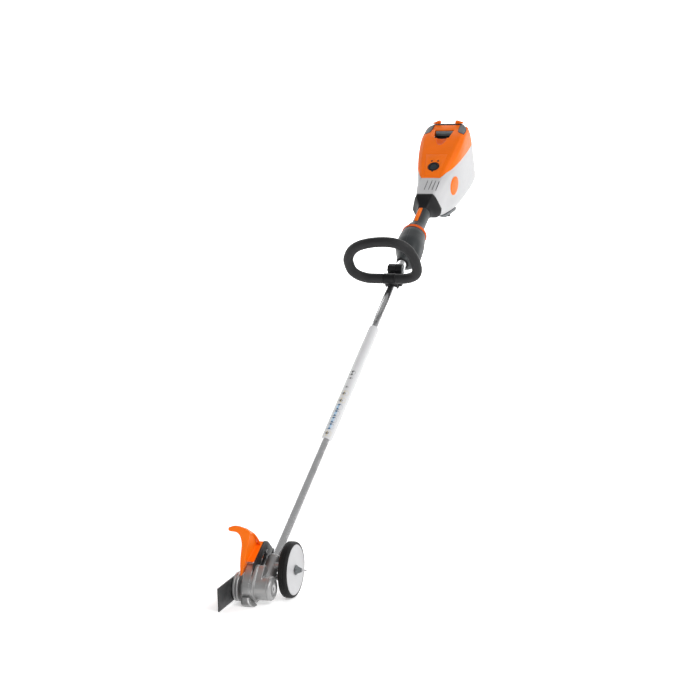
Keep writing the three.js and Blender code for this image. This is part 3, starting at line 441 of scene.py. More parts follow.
def gear_head():
    ear_bolt = (24.1, 23.9)
    casting = make("gear_casting", [
        rod("x", 25.5, -17, 16.7, count=96),
        prism(ear_outline(), "x", -17, -11),
        prism(hull((0, 0, 25), (ear_bolt[0] + 2, ear_bolt[1] - 1, 12.5)), "x", -12, 3),
        turned("y", [(8, 0), (8, 16.5), (30, 16.5), (40, 15.6), (88.8, 15.6), (90, 14.4), (90, 0)]),
        rod("x", 7, 10, 21.7, (60, 8)), rod("x", 7, 10, 21.7, (45, -10)),
        turned("y", [(82, 14), (83, 16.3), (87, 16.3), (88, 14)])], SHAFT)
    fuse(casting, 0.65, 7)
    cut(casting, [rod("x", 20.6, -18, 17.7), rod("y", 13, 45, 96),
                  rod("y", 10.6, 12, 46), rod("x", 2.9, -18, -7.6, ear_bolt, 24)], SHAFT)
    settle(casting, "root", "cast_aluminium", ["gear_housing"])

    cover = make("gear_cover", [prism(ear_outline(), "x", -36, -20), prism(ear_outline(-2.2), "x", -36.6, -30)], SHAFT)
    fuse(cover, 0.6, 4)
    cut(cover, [rod("x", 16.3, -38, -24), rod("x", 13, -25, -16), rod("x", 2.9, -38, -10, ear_bolt, 24),
                rod("x", 5.6, -38, -32.4, ear_bolt, 32)], SHAFT)
    settle(cover, "root", "cast_aluminium", ["housing_cover"])
    spigot = make("cover_spigot", [turned("x", [(-20, 13.5), (-20, 30.4), (-17, 30.4), (-17, 13.5)], ring=True)], SHAFT)
    settle(spigot, "root", "cast_aluminium", bevel=0.3)
    rims = [turned("x", [(x, 20), (x, 31.1), (x + 0.9, 31.1), (x + 0.9, 20)], ring=True) for x in (-20.9, -17)]
    settle(make("machined_rims", rims, SHAFT), "root", "bright_steel", bevel=0.2)

    cap = make("end_cap", [turned("x", [(10, 13.4), (10, 20.2), (17, 20.2), (17, 25.5), (20.5, 25.5), (23.4, 24),
                                        (25, 20.8), (25.2, 17), (24.6, 15.6), (24.6, 0), (17, 0), (17, 13.4)])], SHAFT)
    settle(cap, "root", "cast_aluminium", ["gear_cap"], bevel=0.35)

    flange = make("blade_flange", [turned("x", [
        (-51.6, 6.3), (-51.6, 29), (-50.8, 30.4), (-50, 30.9), (-46.6, 30.9), (-45.3, 29.6), (-45.3, 15), (-43, 13),
        (-37.2, 12), (-37.2, 6.3)], count=128, ring=True)], LEVEL)
    settle(flange, "blade_set", "cast_aluminium", ["drive_flange"], bevel=0.25)
    washer = make("blade_washer", [turned("x", [
        (-58, 6.3), (-58, 29), (-57.4, 30.3), (-56.6, 30.9), (-53.2, 30.9), (-51.9, 29.4), (-51.9, 6.3)],
        count=128, ring=True)], LEVEL)
    settle(washer, "blade_set", "cast_aluminium", ["thrust_washer"], bevel=0.25)


# ---- guard ----
CREST = [(54, 112.5, 18), (62, 113.5, 17), (70, 117, 16), (78, 121.5, 14.5), (88, 127, 12), (97, 130, 11)]


def polar(radius, degrees):
    return radius * math.cos(math.radians(degrees)), radius * math.sin(math.radians(degrees))


def guard():
    angles = spread(54, 97, 44)
    rings = []
    for angle in angles:
        crest, fall = spline(CREST, angle)
        section = [(-70, -5), (-70.6, -1.4), (-64, -0.4), (-52, 0), (-38, -fall * 0.25), (-21, -fall),
                   (-22, -fall - 3.6), (-40, -fall * 0.3 - 4), (-56, -6)]
        rings.append([(x, *polar(crest + drop, angle)) for x, drop in section])
    crest_edge = []
    for angle in angles[:-1]:
        crest, fall = spline(CREST, angle)
        crest_edge.append(polar(crest - fall - 2, angle))
    wall_outline = [(-14, 25.6), (6, 32.5), (24.5, 40.5), (52, 42), (74, 56), (70, 72), *crest_edge, (-14, 117)]
    points, faces = prism(wall_outline, "x", -44.4, -41.2)
    leaning = [(x + 0.21 * (z - 28), y, z) for x, y, z in points]
    band = [(-41.4, 25.6), (-44.1, 26), (-44.6, 53), (-42.4, 76.8), (-40, 95), (-43.6, 110.7), (-48, 116), (-53, 119),
            (-68.2, 119.6), (-71.2, 124), (-66, 128.8), (-59, 132), (-48, 132), (-37.8, 129.5), (-28, 125.5),
            (-20.9, 120.4), (-22.4, 112), (-26, 96), (-29.6, 76.8), (-35.4, 50.7)]
    beam = [(2, 53), (18, 50.4), (62, 50), (76, 60), (72, 83), (55, 87)]
    shell = make("guard_shell", [loft(rings), (leaning, faces), prism(soften(band, 0.25, 2), "y", -16.6, -12),
                                 prism(beam, "x", -36, -20.2)], LEVEL)
    fuse(shell, 0.8, 6)
    cut(shell, [rod("x", 2.3, -34, -19, (65.5, 63.8), 24)], LEVEL)
    settle(shell, "root", "orange_plastic", ["guard"])


# ---- skid shoe ----
def skid():
    rows = [(0, -29, -5, -39, -14), (1.6, -32, -6.5, -41, -12), (4.5, -34.5, -10.5, -41, -12),
            (8.5, -35.6, -14.5, -39.5, -12), (13, -36.4, -17, -37.5, -12), (18, -36.6, -18, -36, -12)]
    rings = []
    for z in spread(0, 18, 24):
        x0, x1, y0, y1 = spline(rows, z)
        ring = soften([(x0, y0), (x1, y0), (x1, y1), (x0, y1)], 0.14, 3)
        rings.append([(x, y, z - AXIS.z / MM) for x, y in ring])
    shoe = make("shoe", [loft(rings)], LEVEL)
    cut(shoe, [rod("x", 31.3, -60, -10.7, count=96), rod("x", 26.5, -11, 30, count=96)], LEVEL)
    hole = [rod("z", 2.3, -35, -10, (-23.5, -22), 24), rod("z", 4.8, -35, -28.6, (-23.5, -22), 32)]
    cut(shoe, hole, LEVEL)
    settle(shoe, "root", "cast_aluminium", ["skid_shoe"], bevel=0.3)


# ---- depth wheel ----
def wheel():
    face = [(26, 4.3), (26, 11), (42.2, 11), (43.4, 13), (44.2, 29), (42.4, 36), (42.4, 49.6), (30, 51), (30, 53.9),
            (47.4, 53.9), (48.4, 52.6), (48.4, 48.4), (47.6, 46.4), (46.9, 44.5), (46.5, 20), (47.4, 15.5), (47.6, 12),
            (47.6, 4.3)]
    ribs = []
    for i in range(9):
        turn = Matrix.Rotation(2 * math.pi * i / 9, 3, "X")
        points, faces = prism([(10, -1.1), (50.4, -1.1), (50.4, 1.1), (10, 1.1)], "x", 33, 43.6)
        ribs.append(([tuple(turn @ Vector(p)) for p in points], faces))
    disc = make("wheel_disc", [turned("x", face, count=144, ring=True), *ribs], WHEEL)
    settle(disc, "wheel", "white_plastic", ["wheel_rim"], bevel=0.35)
    tread = [(28.3, 54.1), (28.3, 56.4), (29, 58.3), (30.6, 59.6), (33, 60), (35.2, 60), (35.6, 59.3), (36.4, 59.3),
             (36.8, 60), (40, 60), (40.4, 59.3), (41.2, 59.3), (41.6, 60), (44, 59.8), (46.3, 58.8), (47.8, 57),
             (48, 55.6), (48, 54.1)]
    tyre = make("tyre", [turned("x", tread, count=192, ring=True)], WHEEL)
    settle(tyre, "wheel", "tyre_rubber", ["wheel_tyre"])


# ---- loop handle ----
LOOP_S, LOOP_N, LOOP_RADIUS = 1094, 26.4, 13
ROUTE = [(-16, 0.4), (-46, 0.6), (-62, 2.6), (-82, 11), (-96, 26), (-101, 46), (-101, 66), (-93, 86), (-80, 102),
         (-60, 114), (-34, 121.6), (-6, 125), (18, 124.2), (36, 119.6), (53, 109.6), (66, 92), (74.6, 66), (77.4, 36),
         (71, 16), (57, 5.6), (40, 1.2), (16, 0.4)]


def loop_path(steps):
    """Smooth line through the loop's route, as (x, n) points."""
    ends = [tuple(2 * a - b for a, b in zip(ROUTE[0], ROUTE[1])), *ROUTE,
            tuple(2 * a - b for a, b in zip(ROUTE[-1], ROUTE[-2]))]
    line = []
    for k in range(len(ROUTE) - 1):
        p0, p1, p2, p3 = ends[k:k + 4]
        for i in range(steps + (k == len(ROUTE) - 2)):
            t = i / steps
            line.append(tuple(0.5 * (2 * b + (c - a) * t + (2 * a - 5 * b + 4 * c - d) * t * t
                                     + (3 * b - a - 3 * c + d) * t**3) for a, b, c, d in zip(p0, p1, p2, p3)))
    return [(x, LOOP_N + 3 + n * 0.9) for x, n in line]


def loop_handle():
    line = loop_path(12)
    rings = []
    for i, (x, n) in enumerate(line):
        before, after = line[max(i - 1, 0)], line[min(i + 1, len(line) - 1)]
        reach = math.hypot(after[0] - before[0], after[1] - before[1])
        side = (-(after[1] - before[1]) / reach, (after[0] - before[0]) / reach)
        ring = []
        for u, v in arc((0, 0), LOOP_RADIUS, 0, 360 - 360 / 40, 40):
            ring.append((x + side[0] * u, LOOP_S + v, n + side[1] * u))
        rings.append(ring)
    settle(make("loop_foam", [loft(rings)], SHAFT), "loop_handle", "black_rubber", ["loop_grip", "loop_core"], bevel=1.2)
    saddle = make("clamp_saddle", [
        rod("x", 13.8, -15.5, 15.5, (LOOP_S, LOOP_N + 3.4), 64),
        prism([(-15.4, 1097), (15.4, 1097), (15.4, 1150), (-15.4, 1150)], "z", 0.4, 13.8),
        prism([(-12, 1090), (12, 1090), (12, 1106), (-12, 1106)], "z", 12, 26),
        prism([(5.4, 1126), (20, 1126), (20, 1150), (5.4, 1150)], "z", 0.4, 18),
        rod("x", 14.4, 5.4, 24, (1138, 28.5), 64)], SHAFT)
    fuse(saddle, 0.6, 4)
    cut(saddle, [rod("y", TUBE_RADIUS + 0.2, 1060, 1180, count=64), rod("x", 4, -30, 40, (1138, 28.5), 24),
                 rod("x", 10.6, 22.6, 26, (1138, 28.5), 40)], SHAFT)
    settle(saddle, "loop_handle", "black_plastic", ["clamp_upper"])
    washer = turned("x", [(22.4, 4.2), (22.4, 10), (23.3, 10.2), (24.2, 9.4), (24.2, 4.2)], (1138, 28.5), 48, True)
    settle(make("clamp_washer", [washer], SHAFT), "loop_handle", "grey_plastic", bevel=0.2)
    rings = []
    for x, size in ((-15, 0.80), (-14.4, 0.92), (-12.8, 1.0), (2.6, 1.0), (4.4, 0.95), (5, 0.86)):
        ring = []
        for i in range(96):
            turn = 2 * math.pi * i / 96
            radius = (13.0 + 1.35 * math.cos(7 * turn)) * size
            ring.append((x, 1138 + radius * math.cos(turn), 28.5 + radius * math.sin(turn)))
        rings.append(ring)
    star = make("knob_star", [loft(rings)], SHAFT)
    cut(star, [rod("x", 3.9, -10.4, 6, (1138, 28.5), 32)], SHAFT)
    settle(star, "clamp_knob", "black_plastic", ["clamp_knob"])
    heads = []
    for x in (-19, 19):
        heads.append(turned("z", [(-10.2, 0), (-10.2, 3.1), (-9.4, 3.6), (-7.1, 3.6), (-7.1, 0)], (x, LOOP_S + 28), 32))
    settle(make("clamp_screws", heads, SHAFT), "loop_handle", "bright_steel", bevel=0.2)


# ---- motor housing, ring and grip ----
MOTOR = [(1208, 16, 15.6, -19, 2, 1), (1220, 22, 18.6, -30, 2.2, 3), (1238, 28, 23, -38, 2.4, 5),
         (1262, 34.5, 30, -42, 2.4, 3), (1290, 37, 34.5, -40, 2.2, 1), (1318, 35, 34.5, -36, 2.1, 0),
         (1335, 32.5, 32.5, -32.5, 2, 0)]
GRIP = [(1344.6, 28, 28, -29, 2), (1352, 24, 26, -27, 2.3), (1366, 19.5, 21, -22, 2.3), (1384, 17.5, 18.5, -20, 2.3),
        (1430, 17.5, 19, -20, 2.3), (1445.7, 18, 20, -20.5, 2.3)]


def half_skin(rows, low, high, count, side):
    """One side of an oval skin, open along the middle seam."""
    rings = []
    for y in spread(low, high, count):
        ring = oval(y, *spline(rows, y))
        rings.append([(side * max(side * x, 0.15), yy, z) for x, yy, z in ring])
    return loft(rings, capped=False)


def motor():
    for side, word in ((-1, "left"), (1, "right")):
        rings = half_skin(MOTOR, 1208, 1335, 72, side)
        shell = make(f"motor_case_{word}", [rings], SHAFT)
        drop_seam(shell)
        thicken(shell, 2.4)
        slots = []
        for y in (1284, 1294, 1304):
            slots.append(prism(hull((y + 2, -20, 1.7), (y + 2, -4, 1.7)), "x", *sorted((side * 27, side * 46))))
        cut(shell, slots, SHAFT)
        settle(shell, "root", "charcoal_plastic", [f"motor_shell_{word}"])
    collar = turned("y", [(1335.4, 29), (1335.4, 33.2), (1336.4, 34), (1338.8, 34), (1339.6, 33.3), (1340.6, 33.3),
                          (1341.4, 34), (1343.2, 34), (1344, 33.2), (1344, 29)], count=128, ring=True)
    settle(make("orange_ring", [collar], SHAFT), "root", "orange_plastic", ["motor_ring"], material=RED_ORANGE)
    nose = turned("y", [(1206.5, 12.9), (1206.5, 14.6), (1209, 16), (1214, 16.6), (1214, 12.9)], count=96, ring=True)
    settle(make("nose_seal", [nose], SHAFT), "root", "black_plastic", bevel=0.3)
    rivets = []
    for x, y in ((-14, 1262), (-2, 1266), (-12, 1246)):
        top = spline(MOTOR, y)[1]
        rivets.append(turned("z", [(top - 5, 0), (top - 5, 2.6), (top - 1.4, 2.6), (top - 0.4, 1.8), (top - 0.1, 0)],
                             (x, y), 24))
    settle(make("case_screws", rivets, SHAFT), "root", "bright_steel")


def drop_seam(obj):
    """Removes the flat strip along the middle, which a half skin leaves behind."""
    mesh_data = bmesh.new()
    mesh_data.from_mesh(obj.data)
    flat = [f for f in mesh_data.faces if all(abs(abs(v.co.x - AXIS.x) - 0.15 * MM) < 1e-6 for v in f.verts)]
    bmesh.ops.delete(mesh_data, geom=flat, context="FACES")
    mesh_data.to_mesh(obj.data)
    mesh_data.free()


def grip():
    for side, word in ((-1, "left"), (1, "right")):
        shell = make(f"grip_case_{word}", [half_skin(GRIP, 1344.6, 1445.7, 60, side)], SHAFT)
        drop_seam(shell)
        thicken(shell, 2.4)
        slots = [prism(soften([(-6, 1372), (6, 1372), (6, 1428), (-6, 1428)], 0.12, 2), "z", -40, -10),
                 prism(soften([(-8.3, 1382.4), (2.3, 1382.4), (2.3, 1444.6), (-8.3, 1444.6)], 0.08, 2), "z", 6, 40)]
        cut(shell, slots, SHAFT)
        settle(shell, "root", "charcoal_plastic", [f"grip_{word}"])
    profile = [(1345, 20), (1345, 28.4), (1352, 28), (1359, 25.6), (1367, 22.4), (1374, 20.2), (1374, 16), (1352, 16)]
    ramp = make("lever_ramp", [prism([(y, z) for y, z in profile], "x", -14.5, 6)], SHAFT)
    settle(ramp, "root", "black_plastic", bevel=1.6, steps=3)
    lever = [(1383.4, 10), (1443.8, 10), (1443.8, 20.6), (1441, 22.6), (1430, 23), (1404, 22.9), (1392, 22),
             (1386, 20.4), (1383.6, 17.6)]
    body = make("lever_blade", [prism(lever, "x", -7.8, 1.8)], SHAFT)
    settle(body, "lockout_lever", "orange_plastic", ["lockout_lever"], bevel=1.5, steps=3)
    curve = [(1374.2, -13), (1424, -13), (1424, -22), (1416, -28.6), (1408, -32.4), (1398, -34.2), (1388, -33.6),
             (1380, -30), (1376, -25), (1374.2, -19)]
    key = make("trigger_key", [prism(curve, "x", -5.3, 5.3)], SHAFT)
    settle(key, "trigger", "black_plastic", ["trigger"], bevel=1.2, steps=3)


# ---- battery head ----
HEAD_LOW, HEAD_HIGH, HOOD_FRONT = 1488.4, 1806.0, 1556.0
# along the shaft, then crown and x, n of: top edge, shoulder, side top, side, side bottom, bottom edge
HEAD = [(1488.4, 37.5, 21, 37, 26, 33, 30, 20, 35, -8, 34, -26, 25, -37),
        (1558, 46.5, 26, 46, 33, 43, 40, 30, 43, 0, 41, -50, 30, -70),
        (1624, 62, 39, 61, 49, 55, 54, 40, 55, 0, 51, -70, 38, -92),
        (1680, 73.5, 46, 72.5, 59, 64, 62, 46, 61, 0, 56, -84, 42, -103),
        (1735, 80.5, 52, 79.5, 63, 71, 64, 50, 62, 0, 58, -93, 45, -112),
        (1778, 80, 50, 79, 62, 71, 63.5, 50, 62, 0, 58.5, -98, 47, -117),
        (1798, 78, 40, 77, 54, 67, 60, 46, 61, 0, 58, -99, 47, -118),
        (1806, 74, 35, 73, 49, 62, 56, 42, 57.5, 0, 54, -94, 43, -112)]


def head_ring(y):
    """Closed outline of the head at y, from the crown down the right side and back up the left."""
    crown, *rest = spline(HEAD, y)
    half = [(4, crown), *zip(rest[0::2], rest[1::2])]
    return soften(half + [(-x, z) for x, z in reversed(half)], 0.13, 3)


PARTING = [(1556, 45.4), (1580, 45.8), (1600, 43.1), (1640, 38.9), (1680, 33.5), (1740, 22), (1780, 15.1),
           (1806, 10.5)]


def parting(y):
    """Height of the seam between hood and body."""
    return spline(PARTING, y)[0]


def clipped(ring, level, above):
    """Moves the points past the level onto the outline's crossing of it, so that every ring keeps its count."""
    kept = []
    for i, (x, z) in enumerate(ring):
        if (z >= level) == above:
            kept.append((x, z))
            continue
        step = -1 if (x > 0) == above else 1
        j = i
        for _ in range(len(ring)):
            j = (j + step) % len(ring)
            if (ring[j][1] >= level) == above:
                break
        else:
            kept.append((x, level))
            continue
        inside, outside = ring[j], ring[(j - step) % len(ring)]
        t = (level - outside[1]) / (inside[1] - outside[1])
        kept.append((outside[0] + (inside[0] - outside[0]) * t, level))
    return kept


def cap_outline(grow, behind=0):
    half = [(50 + grow, 1762.6 - grow), (51.4 + grow, 1768), (49 + grow, 1784), (42 + grow, 1794), (34 + grow, 1799 + grow)]
    if behind:
        half.append((34 + grow, 1799 + grow + behind))
    return half + [(-x, y) for x, y in reversed(half)]


def panel_outline(grow):
    half = [(21 + grow, 1565 - grow), (30 + grow, 1648 + grow)]
    return half + [(-x, y) for x, y in reversed(half)]


def half_ellipse(x_half, y_half, middle, count=24):
    """Half an ellipse that opens to the back at y = middle."""
    turns = spread(math.pi, 2 * math.pi, count)
    return [(x_half * math.cos(t), middle + y_half * math.sin(t)) for t in turns]


def hood():
    stations = spread(HOOD_FRONT + 0.4, HEAD_HIGH, 96)
    rings = [[(x, y, z) for x, z in clipped(head_ring(y), parting(y) + 0.2, True)] for y in stations]
    shell = make("hood_shell", [open_below(rings, lambda y: parting(y) + 0.2)], SHAFT)
    thicken(shell, 2.6)
    window = [(-30, 1764), (28, 1764), (20, 1716), (-22, 1716)]
    pocket = [(-51.2, 1761.4), (-52.6, 1768), (-52.6, 1840), (52.6, 1840), (52.6, 1768), (51.2, 1761.4)]
    cut(shell, [prism(pocket, "z", 56, 120), prism(soften(window, 0.04, 2), "z", 50, 120),
                prism([*half_ellipse(15, 31, 1716), (15, 1718), (-15, 1718)], "z", 50, 120),
                prism(panel_outline(0.3), "z", 40, 80)], SHAFT)
    settle(shell, "root", "orange_plastic", ["hood"])
    dish_rings = []
    for depth, grow in ((-0.5, 1.03), (-2.4, 0.99), (-3.6, 0.9), (-4.4, 0.7), (-4.8, 0.4), (-5, 0.03)):
        outline = half_ellipse(15 * grow, 31 * grow, 1717)
        dish_rings.append([(x, y, hood_height(y) + depth) for x, y in outline])
    dish = make("thumb_dish", [loft(dish_rings, closed=False)], SHAFT)
    thicken(dish, 1.0)
    settle(dish, "root", "orange_plastic", material=RED_ORANGE)


def hood_height(y):
    return spline(HEAD, y)[0]


def open_below(rings, level):
    """Leaves out the strip that clipping folds flat along the level."""
    count = len(rings[0])
    points = [p for ring in rings for p in ring]
    faces = []
    for r in range(len(rings) - 1):
        for i in range(count):
            j = (i + 1) % count
            quad = (r * count + i, r * count + j, (r + 1) * count + j, (r + 1) * count + i)
            if all(abs(points[k][2] - level(points[k][1])) < 1e-6 for k in quad):
                continue
            faces.append(quad)
    return points, faces


def body():
    for side, word in ((-1, "left"), (1, "right")):
        front = [[(x, y, z) for x, z in head_ring(y)] for y in spread(HEAD_LOW, HOOD_FRONT, 30)]
        back = []
        for y in spread(HOOD_FRONT + 0.3, HEAD_HIGH, 90):
            back.append([(x, y, z) for x, z in clipped(head_ring(y), parting(y) - 0.2, False)])
        rings = [[(side * max(side * x, 0.15), y, z) for x, y, z in ring] for ring in front + back]
        points, faces = open_below(rings, lambda y: parting(y) - 0.2)
        shell = make(f"head_body_{word}", [(points, faces)], SHAFT)
        drop_seam(shell)
        thicken(shell, 2.6)
        slots = []
        for x in (-8, 4, 14, 24):
            slots.append(prism([(x, 1506), (x + 2.4, 1506), (x + 4.6, 1546), (x + 2.2, 1546)], "z", 26, 60))
        cut(shell, slots, SHAFT)
        settle(shell, "root", "white_plastic", [f"body_{word}"])
        badge(side, word)


BADGE_SPOT = (1603, -8)
BADGE_RADIUS = 26
BADGE_PROUD = 1.1


def badge(side, word):
    """Plain disc inlaid in the head's side."""
    rings = []
    for radius, lift in ((BADGE_RADIUS, -1.5), (BADGE_RADIUS, 0.6 * BADGE_PROUD), (BADGE_RADIUS - 0.8, BADGE_PROUD),
                         (BADGE_RADIUS * 0.66, BADGE_PROUD), (BADGE_RADIUS * 0.33, BADGE_PROUD), (0.6, BADGE_PROUD)):
        rings.append([(side * (side_at(u, v) + lift), u, v) for u, v in arc(BADGE_SPOT, radius, 0, 354.4, 64)])
    settle(make(f"side_badge_{word}", [loft(rings)], SHAFT), "root", "orange_plastic", bevel=0.2)


def side_at(y, z):
    """Half width of the head at y and height z."""
    ring = [p for p in head_ring(y) if p[0] > 0]
    crossings = []
    for (x0, z0), (x1, z1) in zip(ring, ring[1:]):
        if min(z0, z1) <= z <= max(z0, z1) and z0 != z1:
            crossings.append(x0 + (x1 - x0) * (z - z0) / (z1 - z0))
    return max(crossings)


def controls():
    slope = math.atan(0.236)
    panel_place = SHAFT @ Matrix.Translation((0, 1600, 56.8)) @ Matrix.Rotation(slope, 4, "X")
    bezel = turned("z", [(-4, 14.8), (-4, 16.6), (-0.7, 16.6), (-0.2, 16.1), (-0.2, 15.2), (-0.6, 14.8)], ring=True)
    settle(make("button_bezel", [bezel], panel_place), "root", "black_plastic")
    button = turned("z", [(-4.4, 0), (-4.4, 14.2), (-0.6, 14.2), (0.2, 13.8), (0.7, 12.8), (0.7, 11.6), (0.1, 10.6),
                          (-0.1, 7), (-0.2, 0)], count=96)
    settle(make("button_face", [button], panel_place), "power_button", "black_plastic", ["power_button"])
    core = turned("z", [(-1, 0), (-1, 8.6), (0, 8.6), (0.12, 7.6), (0.12, 0)], count=64)
    settle(make("button_core", [core], panel_place), "power_button", "black_plastic", material=BUTTON_CORE)
    lenses = []
    for x, y in ((-9, 22), (9, 22), (0, -17)):
        lenses.append(turned("z", [(-3, 0), (-3, 2.9), (-0.9, 2.9), (-0.3, 2.2), (-0.1, 0)], (x, y), 24))
    settle(make("status_lamps", lenses, panel_place), "root", "black_plastic")
    marks = [turned("z", [(hood_height(1644) - 6, 0), (hood_height(1644) - 6, 2.7), (hood_height(1644) - 3.2, 2.7),
                          (hood_height(1644) - 2.4, 0)], (x, 1644), 24) for x in (-35, 35)]
    settle(make("hood_screws", marks, SHAFT), "root", "black_plastic")


def skin_height(x, y):
    """Height of the head's upper surface at x and y."""
    ring = [p for p in head_ring(y) if p[0] >= 0 and p[1] > 30]
    for (x0, z0), (x1, z1) in zip(ring, ring[1:]):
        if x0 <= abs(x) <= x1 and x1 > x0:
            return z0 + (z1 - z0) * (abs(x) - x0) / (x1 - x0)
    return ring[0][1] if abs(x) < ring[0][0] else ring[-1][1]


def shoulder_patch(side, grow, lift, depth):
    """Inlay that follows the shoulder of the head beside the cap."""
    rings = []
    for y in spread(1740.5 - grow, 1785 + grow, 16):
        left = spline([(1738, 54), (1748, 41), (1766, 39.4), (1788, 38.6)], y)[0] - grow
        right = spline([(1738, 56.2), (1760, 58), (1774, 56), (1788, 46.5)], y)[0] + grow
        across = spread(left, right, 8)
        top = [(side * x, y, skin_height(x, y) + lift) for x in across]
        bottom = [(side * x, y, skin_height(x, y) + lift - depth) for x in reversed(across)]
        rings.append(top + bottom)
    return loft(rings)


def mirrored_outline(half):
    return half + [(-x, y) for x, y in reversed(half)]


def battery():
    lid_outline = soften(mirrored_outline([(50, 1762.8), (51.2, 1768), (49.4, 1784), (45, 1790.6)]), 0.1, 2)
    lid = make("battery_lid", [prism(lid_outline, "z", 56, 77.3)], SHAFT)
    settle(lid, "battery", "orange_plastic", ["battery_cap"], bevel=1.2, steps=3)
    # black band round the lid: partly the battery's black side, partly painted shade for the shadow gap to the hood
    side_and_gap_outline = soften(mirrored_outline([(51.2, 1766), (51.2, 1786), (46, 1795), (36, 1800.4)]), 0.12, 2)
    rim = make("battery_side_and_shadow_gap", [prism(side_and_gap_outline, "z", 55.6, 75.4),
                               prism(soften(mirrored_outline([(44, 1788), (44, 1794.6), (34, 1800)]), 0.1, 2),
                                     "z", 60, 77.2)], SHAFT)
    settle(rim, "battery", "black_plastic", bevel=0.8, steps=2)
    tab = [(-27.4, 1761.8), (25.4, 1761.8), (22.6, 1747.6), (-25, 1747.6)]
    ribs = [prism([(x, 1750), (x + 2.4, 1750), (x + 2.4, 1759.6), (x, 1759.6)], "z", 74, 76.2)
            for x in range(-20, 18, 5)]
    bar = make("battery_tab", [prism(tab, "z", 57, 75), *ribs], SHAFT)
    settle(bar, "battery", "grey_plastic", ["battery_strip"], bevel=0.6)
    well = prism([(-22, 1717.6), (20, 1717.6), (24.6, 1747.5), (-26, 1747.5)], "z", 58, 67)
    settle(make("battery_well", [well], SHAFT), "battery", "black_plastic", bevel=0.4, material=WELL_BLACK)
    for side, word in ((-1, "left"), (1, "right")):
        # black patch just wider than the corner block: painted shade for the shadow gap round the block
        seam = make(f"corner_shadow_gap_{word}", [shoulder_patch(side, 1.3, 0.5, 2.2)], SHAFT)
        settle(seam, "root", "black_plastic", bevel=0.2)
        block = make(f"corner_block_{word}", [shoulder_patch(side, 0, 1.1, 2.6)], SHAFT)
        settle(block, "root", "grey_plastic", bevel=0.4)
        horn = soften([(21, 78.4), (21, 84.4), (23.4, 86.6), (28, 86.4), (37, 82.6), (46, 78.8)], 0.12, 2)
        tip = make(f"latch_tip_{word}", [prism([(x * side, z) for x, z in horn], "y", 1794.8, 1801.6)], SHAFT)
        settle(tip, f"latch_{word}", "orange_plastic", [f"latch_{word}"], bevel=0.9, steps=3)
    bars = [prism([(-26, z), (26, z), (26, z + 3), (-26, z + 3)], "y", 1805.2, 1805.9) for z in (-44, -34, -24, -14)]
    settle(make("battery_ribs", bars, SHAFT), "battery", "black_plastic", bevel=0.25)


def foot():
    bump = turned("z", [(-101, 0), (-101, 2.4), (-100, 3.4), (-92, 3.8), (-92, 0)], (14, 1588), 32)
    bar = prism([(1582, -96.6), (1592, -98.6), (1593, -90), (1583, -86)], "x", -30, 30)
    settle(make("foot_stop", [bump, bar], SHAFT), "root", "black_plastic", bevel=1.0)


shaft()
gear_head()
guard()
skid()
wheel()
loop_handle()
motor()
grip()
hood()
body()
controls()
battery()
foot()


# ---- CAD nodes that stay: their own shape, with rounded edges and a finish ----
SLOTS = {entry["node"]: entry["material_slot"] for entry in record["subparts"]}
ROUNDING = {"head_collar": 1.3, "battery_case": 2.5, "rear_foot": 1.2, "clamp_upper": 1.0, "clamp_lower": 0.8,
            "clamp_knob": 0.9, "latch_left": 1.4, "latch_right": 1.4, "blade": 0.35, "control_panel": 0.5}
for node, obj in frame["nodes"].items():
    if node in REPLACED:
        continue
    obj.data.materials.clear()
    obj.data.materials.append(FINISHES[SLOTS[node]])
    weld = obj.modifiers.new("weld", "WELD")
    weld.merge_threshold = 1e-6
    finish_edges(obj, ROUNDING.get(node, 0.3))


# ---- studio ----
CAMERA_SPOT = (1.3119, -3.3577, 0.8958)
CAMERA_TURN, CAMERA_PITCH = math.radians(18.045), math.radians(5.707)


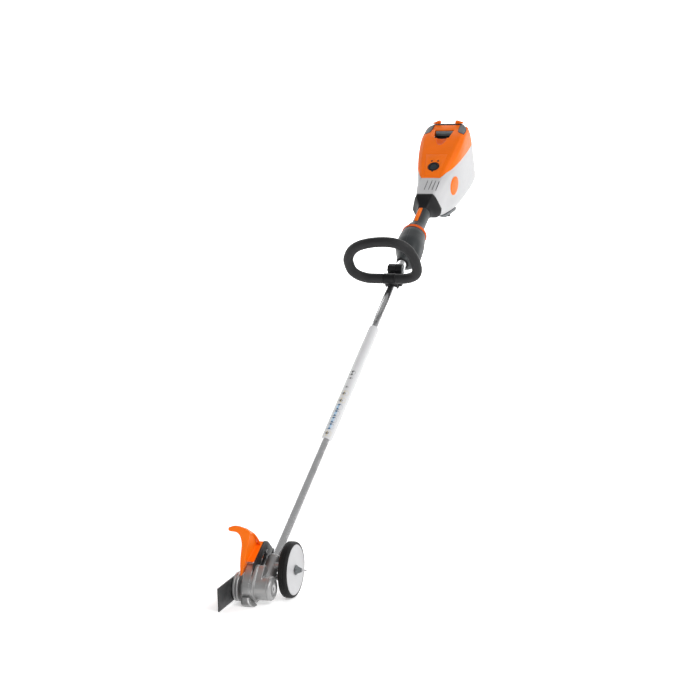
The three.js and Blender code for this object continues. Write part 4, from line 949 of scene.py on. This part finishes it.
def glow(material, strength):
    """Lets a stage surface carry some light of its own, as a lit backdrop does."""
    shader = material.node_tree.nodes["Principled BSDF"]
    shader.inputs["Emission Color"].default_value = (1, 1, 1, 1)
    shader.inputs["Emission Strength"].default_value = strength
    return material


def studio():
    turned_place = Matrix.Rotation(CAMERA_TURN, 4, "Z")
    ground = [(-12, -9, 0), (12, -9, 0), (12, 6, 0), (-12, 6, 0)]
    floor = make("floor", [(ground, [(0, 1, 2, 3)])], turned_place, outward=False)
    floor.data.materials.append(glow(surface("studio_floor", (0.9, 0.9, 0.9), 0.8, tint=0.01, bump=0.02), 0.36))
    wall = [(-12, 6, -0.2), (12, 6, -0.2), (12, 6, 9), (-12, 6, 9)]
    backdrop = make("backdrop", [(wall, [(0, 1, 2, 3)])], turned_place, outward=False)
    backdrop.data.materials.append(glow(surface("studio_wall", (0.9, 0.9, 0.9), 0.9, tint=0.01, bump=0.02), 1.0))

    world = bpy.data.worlds.new("studio")
    bpy.context.scene.world = world
    world.use_nodes = True
    world.node_tree.nodes["Background"].inputs["Color"].default_value = (1, 1, 1, 1)
    world.node_tree.nodes["Background"].inputs["Strength"].default_value = 0.34

    def lamp(name, kind, spot, aim, energy, size):
        light = bpy.data.lights.new(name, kind)
        light.energy = energy
        if kind == "SUN":
            light.angle = size
        else:
            light.size = size
        holder = bpy.data.objects.new(name, light)
        holder.location = spot
        holder.rotation_euler = (Vector(aim) - Vector(spot)).to_track_quat("-Z", "Y").to_euler()
        bpy.context.scene.collection.objects.link(holder)
    lamp("key", "SUN", (3.2, -0.6, 3.6), (0, 0.6, 0.3), 1.25, math.radians(34))
    lamp("front_box", "AREA", (2.2, -3.6, 2.6), (0, 0.7, 0.5), 40, 1.5)
    lamp("side_box", "AREA", (3.6, 0.6, 1.4), (0, 0.8, 0.5), 14, 1.2)

    eye = bpy.data.cameras.new("camera")
    eye.lens = 90.5
    eye.sensor_width = 36
    camera = bpy.data.objects.new("camera", eye)
    camera.location = CAMERA_SPOT
    camera.rotation_euler = (math.pi / 2 - CAMERA_PITCH, 0, CAMERA_TURN)
    bpy.context.scene.collection.objects.link(camera)
    bpy.context.scene.camera = camera
    bpy.context.scene.view_settings.view_transform = "Standard"


studio()
